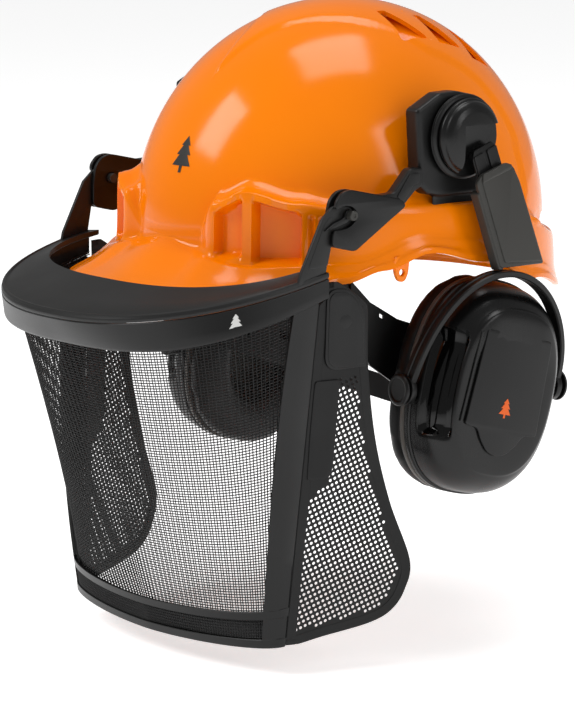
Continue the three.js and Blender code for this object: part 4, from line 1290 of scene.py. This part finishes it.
def build_sweatband():
    """A padded strip with stitched channels every so often."""
    rings = []
    for k in range(115):
        angle = 33 + k
        channel = 1 - 0.35 * math.exp(-(((k % 19) - 9.5) / 1.3) ** 2)
        point, out = band_place(angle, 3.7)
        rings.append(strap_ring(point, out, -HALF - 1, HALF - 3, 5 * channel))
    return along_rings(rings)


sweatband = piece("brow_pad", build_sweatband(), VINYL, "helmet", ["sweatband"])


def nape_middle(step):
    """The strap's middle line, step 0 to 1 beside the ears and 1 to 2 behind the head."""
    spread = max(0, 1 - step)
    angle = math.pi / 2 * max(0, step - 1)
    y = NAPE["start"] * spread if step < 1 else NAPE["back"] * math.sin(angle) ** 0.95
    x = (NAPE["x"] - NAPE["pinch"] * spread ** 2) * max(0.0, math.cos(angle)) ** 0.85
    lean = 2 * NAPE["pinch"] * spread / NAPE["start"]
    mid = straight([(place, values[0]) for place, values in NAPE_LINE], y)
    half = straight([(place, values[1]) for place, values in NAPE_LINE], y)
    return Vector((x, y, mid)), Vector((math.cos(angle), math.sin(angle) + lean, 0)).normalized(), half


# slits as (from step, to step, from share of the width, to share)
NAPE_SLITS = ((0.36, 0.42, 0.86, 0.92), (0.66, 0.70, 0.08, 0.16), (0.60, 0.63, 0.02, 0.06),
              (0.80, 0.86, 0.30, 0.36), (1.10, 1.34, 0.44, 0.56), (1.52, 1.74, 0.40, 0.60))
NAPE_COLUMNS = 200
NAPE_ROWS = 50


def build_nape():
    def place(u, v):
        side = 2 * u - 1
        point, out, half = nape_middle(2 * (1 - abs(side)))
        point.z += lerp(-half, half, v)
        point += out * (HEAD["strap"] / 2)
        point.x = math.copysign(point.x, side)
        return point
    bm = grid(NAPE_COLUMNS, NAPE_ROWS, place)
    slits = []
    for face in bm.faces:
        spot = face.calc_center_median() / MM
        for first, last, low, high in NAPE_SLITS:
            (p0, _, half), (p1, _, _) = nape_middle(first), nape_middle(last)
            share = (spot.z - lerp(p0.z, p1.z, clamp((spot.y - p0.y) / (p1.y - p0.y))) + half) / (2 * half)
            if p0.y < spot.y < p1.y and low < share < high:
                slits.append(face)
                break
    bmesh.ops.delete(bm, geom=slits, context="FACES")
    bmesh.ops.recalc_face_normals(bm, faces=bm.faces)
    return walled(bm, HEAD["strap"])


piece("nape_band", build_nape(), BLACK_NYLON, "nape", ["nape_strap"])
piece("wheel_housing", softened("ratchet_housing", 1.2), BLACK_NYLON, "nape",
      ["ratchet_housing"], sharp=50)
piece("wheel_pinion", softened("ratchet_pinion", 0.2), BLACK_NYLON, "nape_wheel",
      ["ratchet_pinion"])


def build_wheel():
    """The size wheel: a cup with finger grooves all round and a dished face."""
    start = RATCHET["deep"] + 0.6
    radius = RATCHET["knob"]
    line = rounded([(0, start), (radius - 1, start), (radius, start + 1.5), (radius - 1, start + 9),
                    (radius - 3, start + 11),
                    (radius - 6, start + 10.6), (radius - 8, start + 9.4), (0, start + 9.2)], 0.8, 3,
                   closed=False)
    bm = turned(line, Matrix(), 144)
    for vert in bm.verts:
        reach = vert.co.xy.length / MM
        turn = math.atan2(vert.co.y, vert.co.x)
        groove = 1.3 * smooth(reach, radius - 5, radius - 1) * max(0, math.cos(12 * turn)) ** 2
        vert.co.xy *= 1 - groove / max(reach, 1)
    bm.transform(at(0, RATCHET["y"], RATCHET["z"]) @ ALONG_Y)
    return bm


piece("size_wheel", build_wheel(), SATIN_BLACK, "nape_wheel", ["ratchet_knob"])


def crown_reach(angle):
    return 1 / math.hypot(math.sin(angle) / (HEAD["a"] + 7), math.cos(angle) / (HEAD["b"] + 8))


def build_crown(plan, level):
    angle = math.radians(plan)
    along = Vector((math.sin(angle), -math.cos(angle), 0))
    across = Vector((along.y, -along.x, 0)) * CROWN["width"]
    high = CROWN["high"] - CROWN["foot"] + level * (CROWN["strap"] + 3 * CROWN["gap"])
    t = CROWN["strap"] / 2
    ring = ((-0.49, t), (-0.25, t), (0, t), (0.25, t), (0.49, t), (0.5, 0), (0.49, -t), (0, -t), (-0.49, -t),
            (-0.5, 0))
    rings = []
    for k in range(73):
        turn = math.pi * k / 72
        rings.append([along * ((crown_reach(angle) + out) * math.cos(turn)) + across * side
                      + Vector((0, 0, CROWN["foot"] + (high + out) * math.sin(turn))) for side, out in ring])
    return along_rings(rings)


for level, plan in enumerate((90, 32, -32)):
    piece(f"webbing_{level + 1}", build_crown(plan, level), WEBBING, "helmet",
          [f"crown_strap_{level + 1}"])
for place in ("left", "front_left", "front_right", "right", "rear_left", "rear_right"):
    piece(f"clip_{place}", softened(f"anchor_clip_{place}", 0.8), BLACK_NYLON, "helmet",
          [f"anchor_clip_{place}"])


# ---------------------------------------------------------------- room, light and camera
def room():
    bm = bmesh.new()
    bmesh.ops.create_circle(bm, cap_ends=True, radius=14, segments=96)
    bmesh.ops.translate(bm, vec=(0, 0, CAD_BOX[0].z - 0.012), verts=bm.verts)
    mesh = bpy.data.meshes.new("floor")
    bm.to_mesh(mesh)
    bm.free()
    material = bpy.data.materials.new("matt_paper")
    material.use_nodes = True
    shader = material.node_tree.nodes["Principled BSDF"]
    shader.inputs["Base Color"].default_value = linear("#F6F6F6")
    shader.inputs["Roughness"].default_value = 0.9
    shader.inputs["Emission Color"].default_value = linear("#FFFFFF")
    shader.inputs["Emission Strength"].default_value = 0.62
    mesh.materials.append(material)
    floor = bpy.data.objects.new("floor", mesh)
    WORK.objects.link(floor)


def soft_box(name, place, aim, size, power):
    lamp = bpy.data.lights.new(name, "AREA")
    lamp.shape = "RECTANGLE"
    lamp.size, lamp.size_y = size
    lamp.energy = power
    obj = bpy.data.objects.new(name, lamp)
    obj.location = place
    obj.rotation_euler = (Vector(aim) - Vector(place)).to_track_quat("-Z", "Y").to_euler()
    WORK.objects.link(obj)


def studio():
    world = bpy.data.worlds.new("studio")
    bpy.context.scene.world = world
    world.use_nodes = True
    back = world.node_tree.nodes["Background"]
    back.inputs["Color"].default_value = linear("#FFFFFF")
    back.inputs["Strength"].default_value = 0.3
    soft_box("key", (-0.9, -1.9, 1.9), (0, 0, 0), (1.1, 1.3), 36)
    soft_box("side", (2.4, 0.6, 1.2), (0, 0, 0), (0.6, 1.5), 13)
    soft_box("top", (0.1, 0.3, 2.4), (0, 0, 0), (1.2, 1.2), 22)


def camera():
    angle, rise = math.radians(CAMERA["azimuth"]), math.radians(CAMERA["elevation"])
    back = Vector((math.sin(angle) * math.cos(rise), -math.cos(angle) * math.cos(rise), math.sin(rise)))
    data = bpy.data.cameras.new("camera")
    data.sensor_fit = "VERTICAL"
    data.sensor_height = CAMERA["sensor"]
    data.lens = CAMERA["lens"]
    data.clip_end = 60
    obj = bpy.data.objects.new("camera", data)
    obj.location = Vector(CAMERA["place"]) * MM
    obj.rotation_euler = (-back).to_track_quat("-Z", "Y").to_euler()
    WORK.objects.link(obj)
    bpy.context.scene.camera = obj


room()
studio()
camera()
bpy.context.scene.view_settings.view_transform = "Standard"
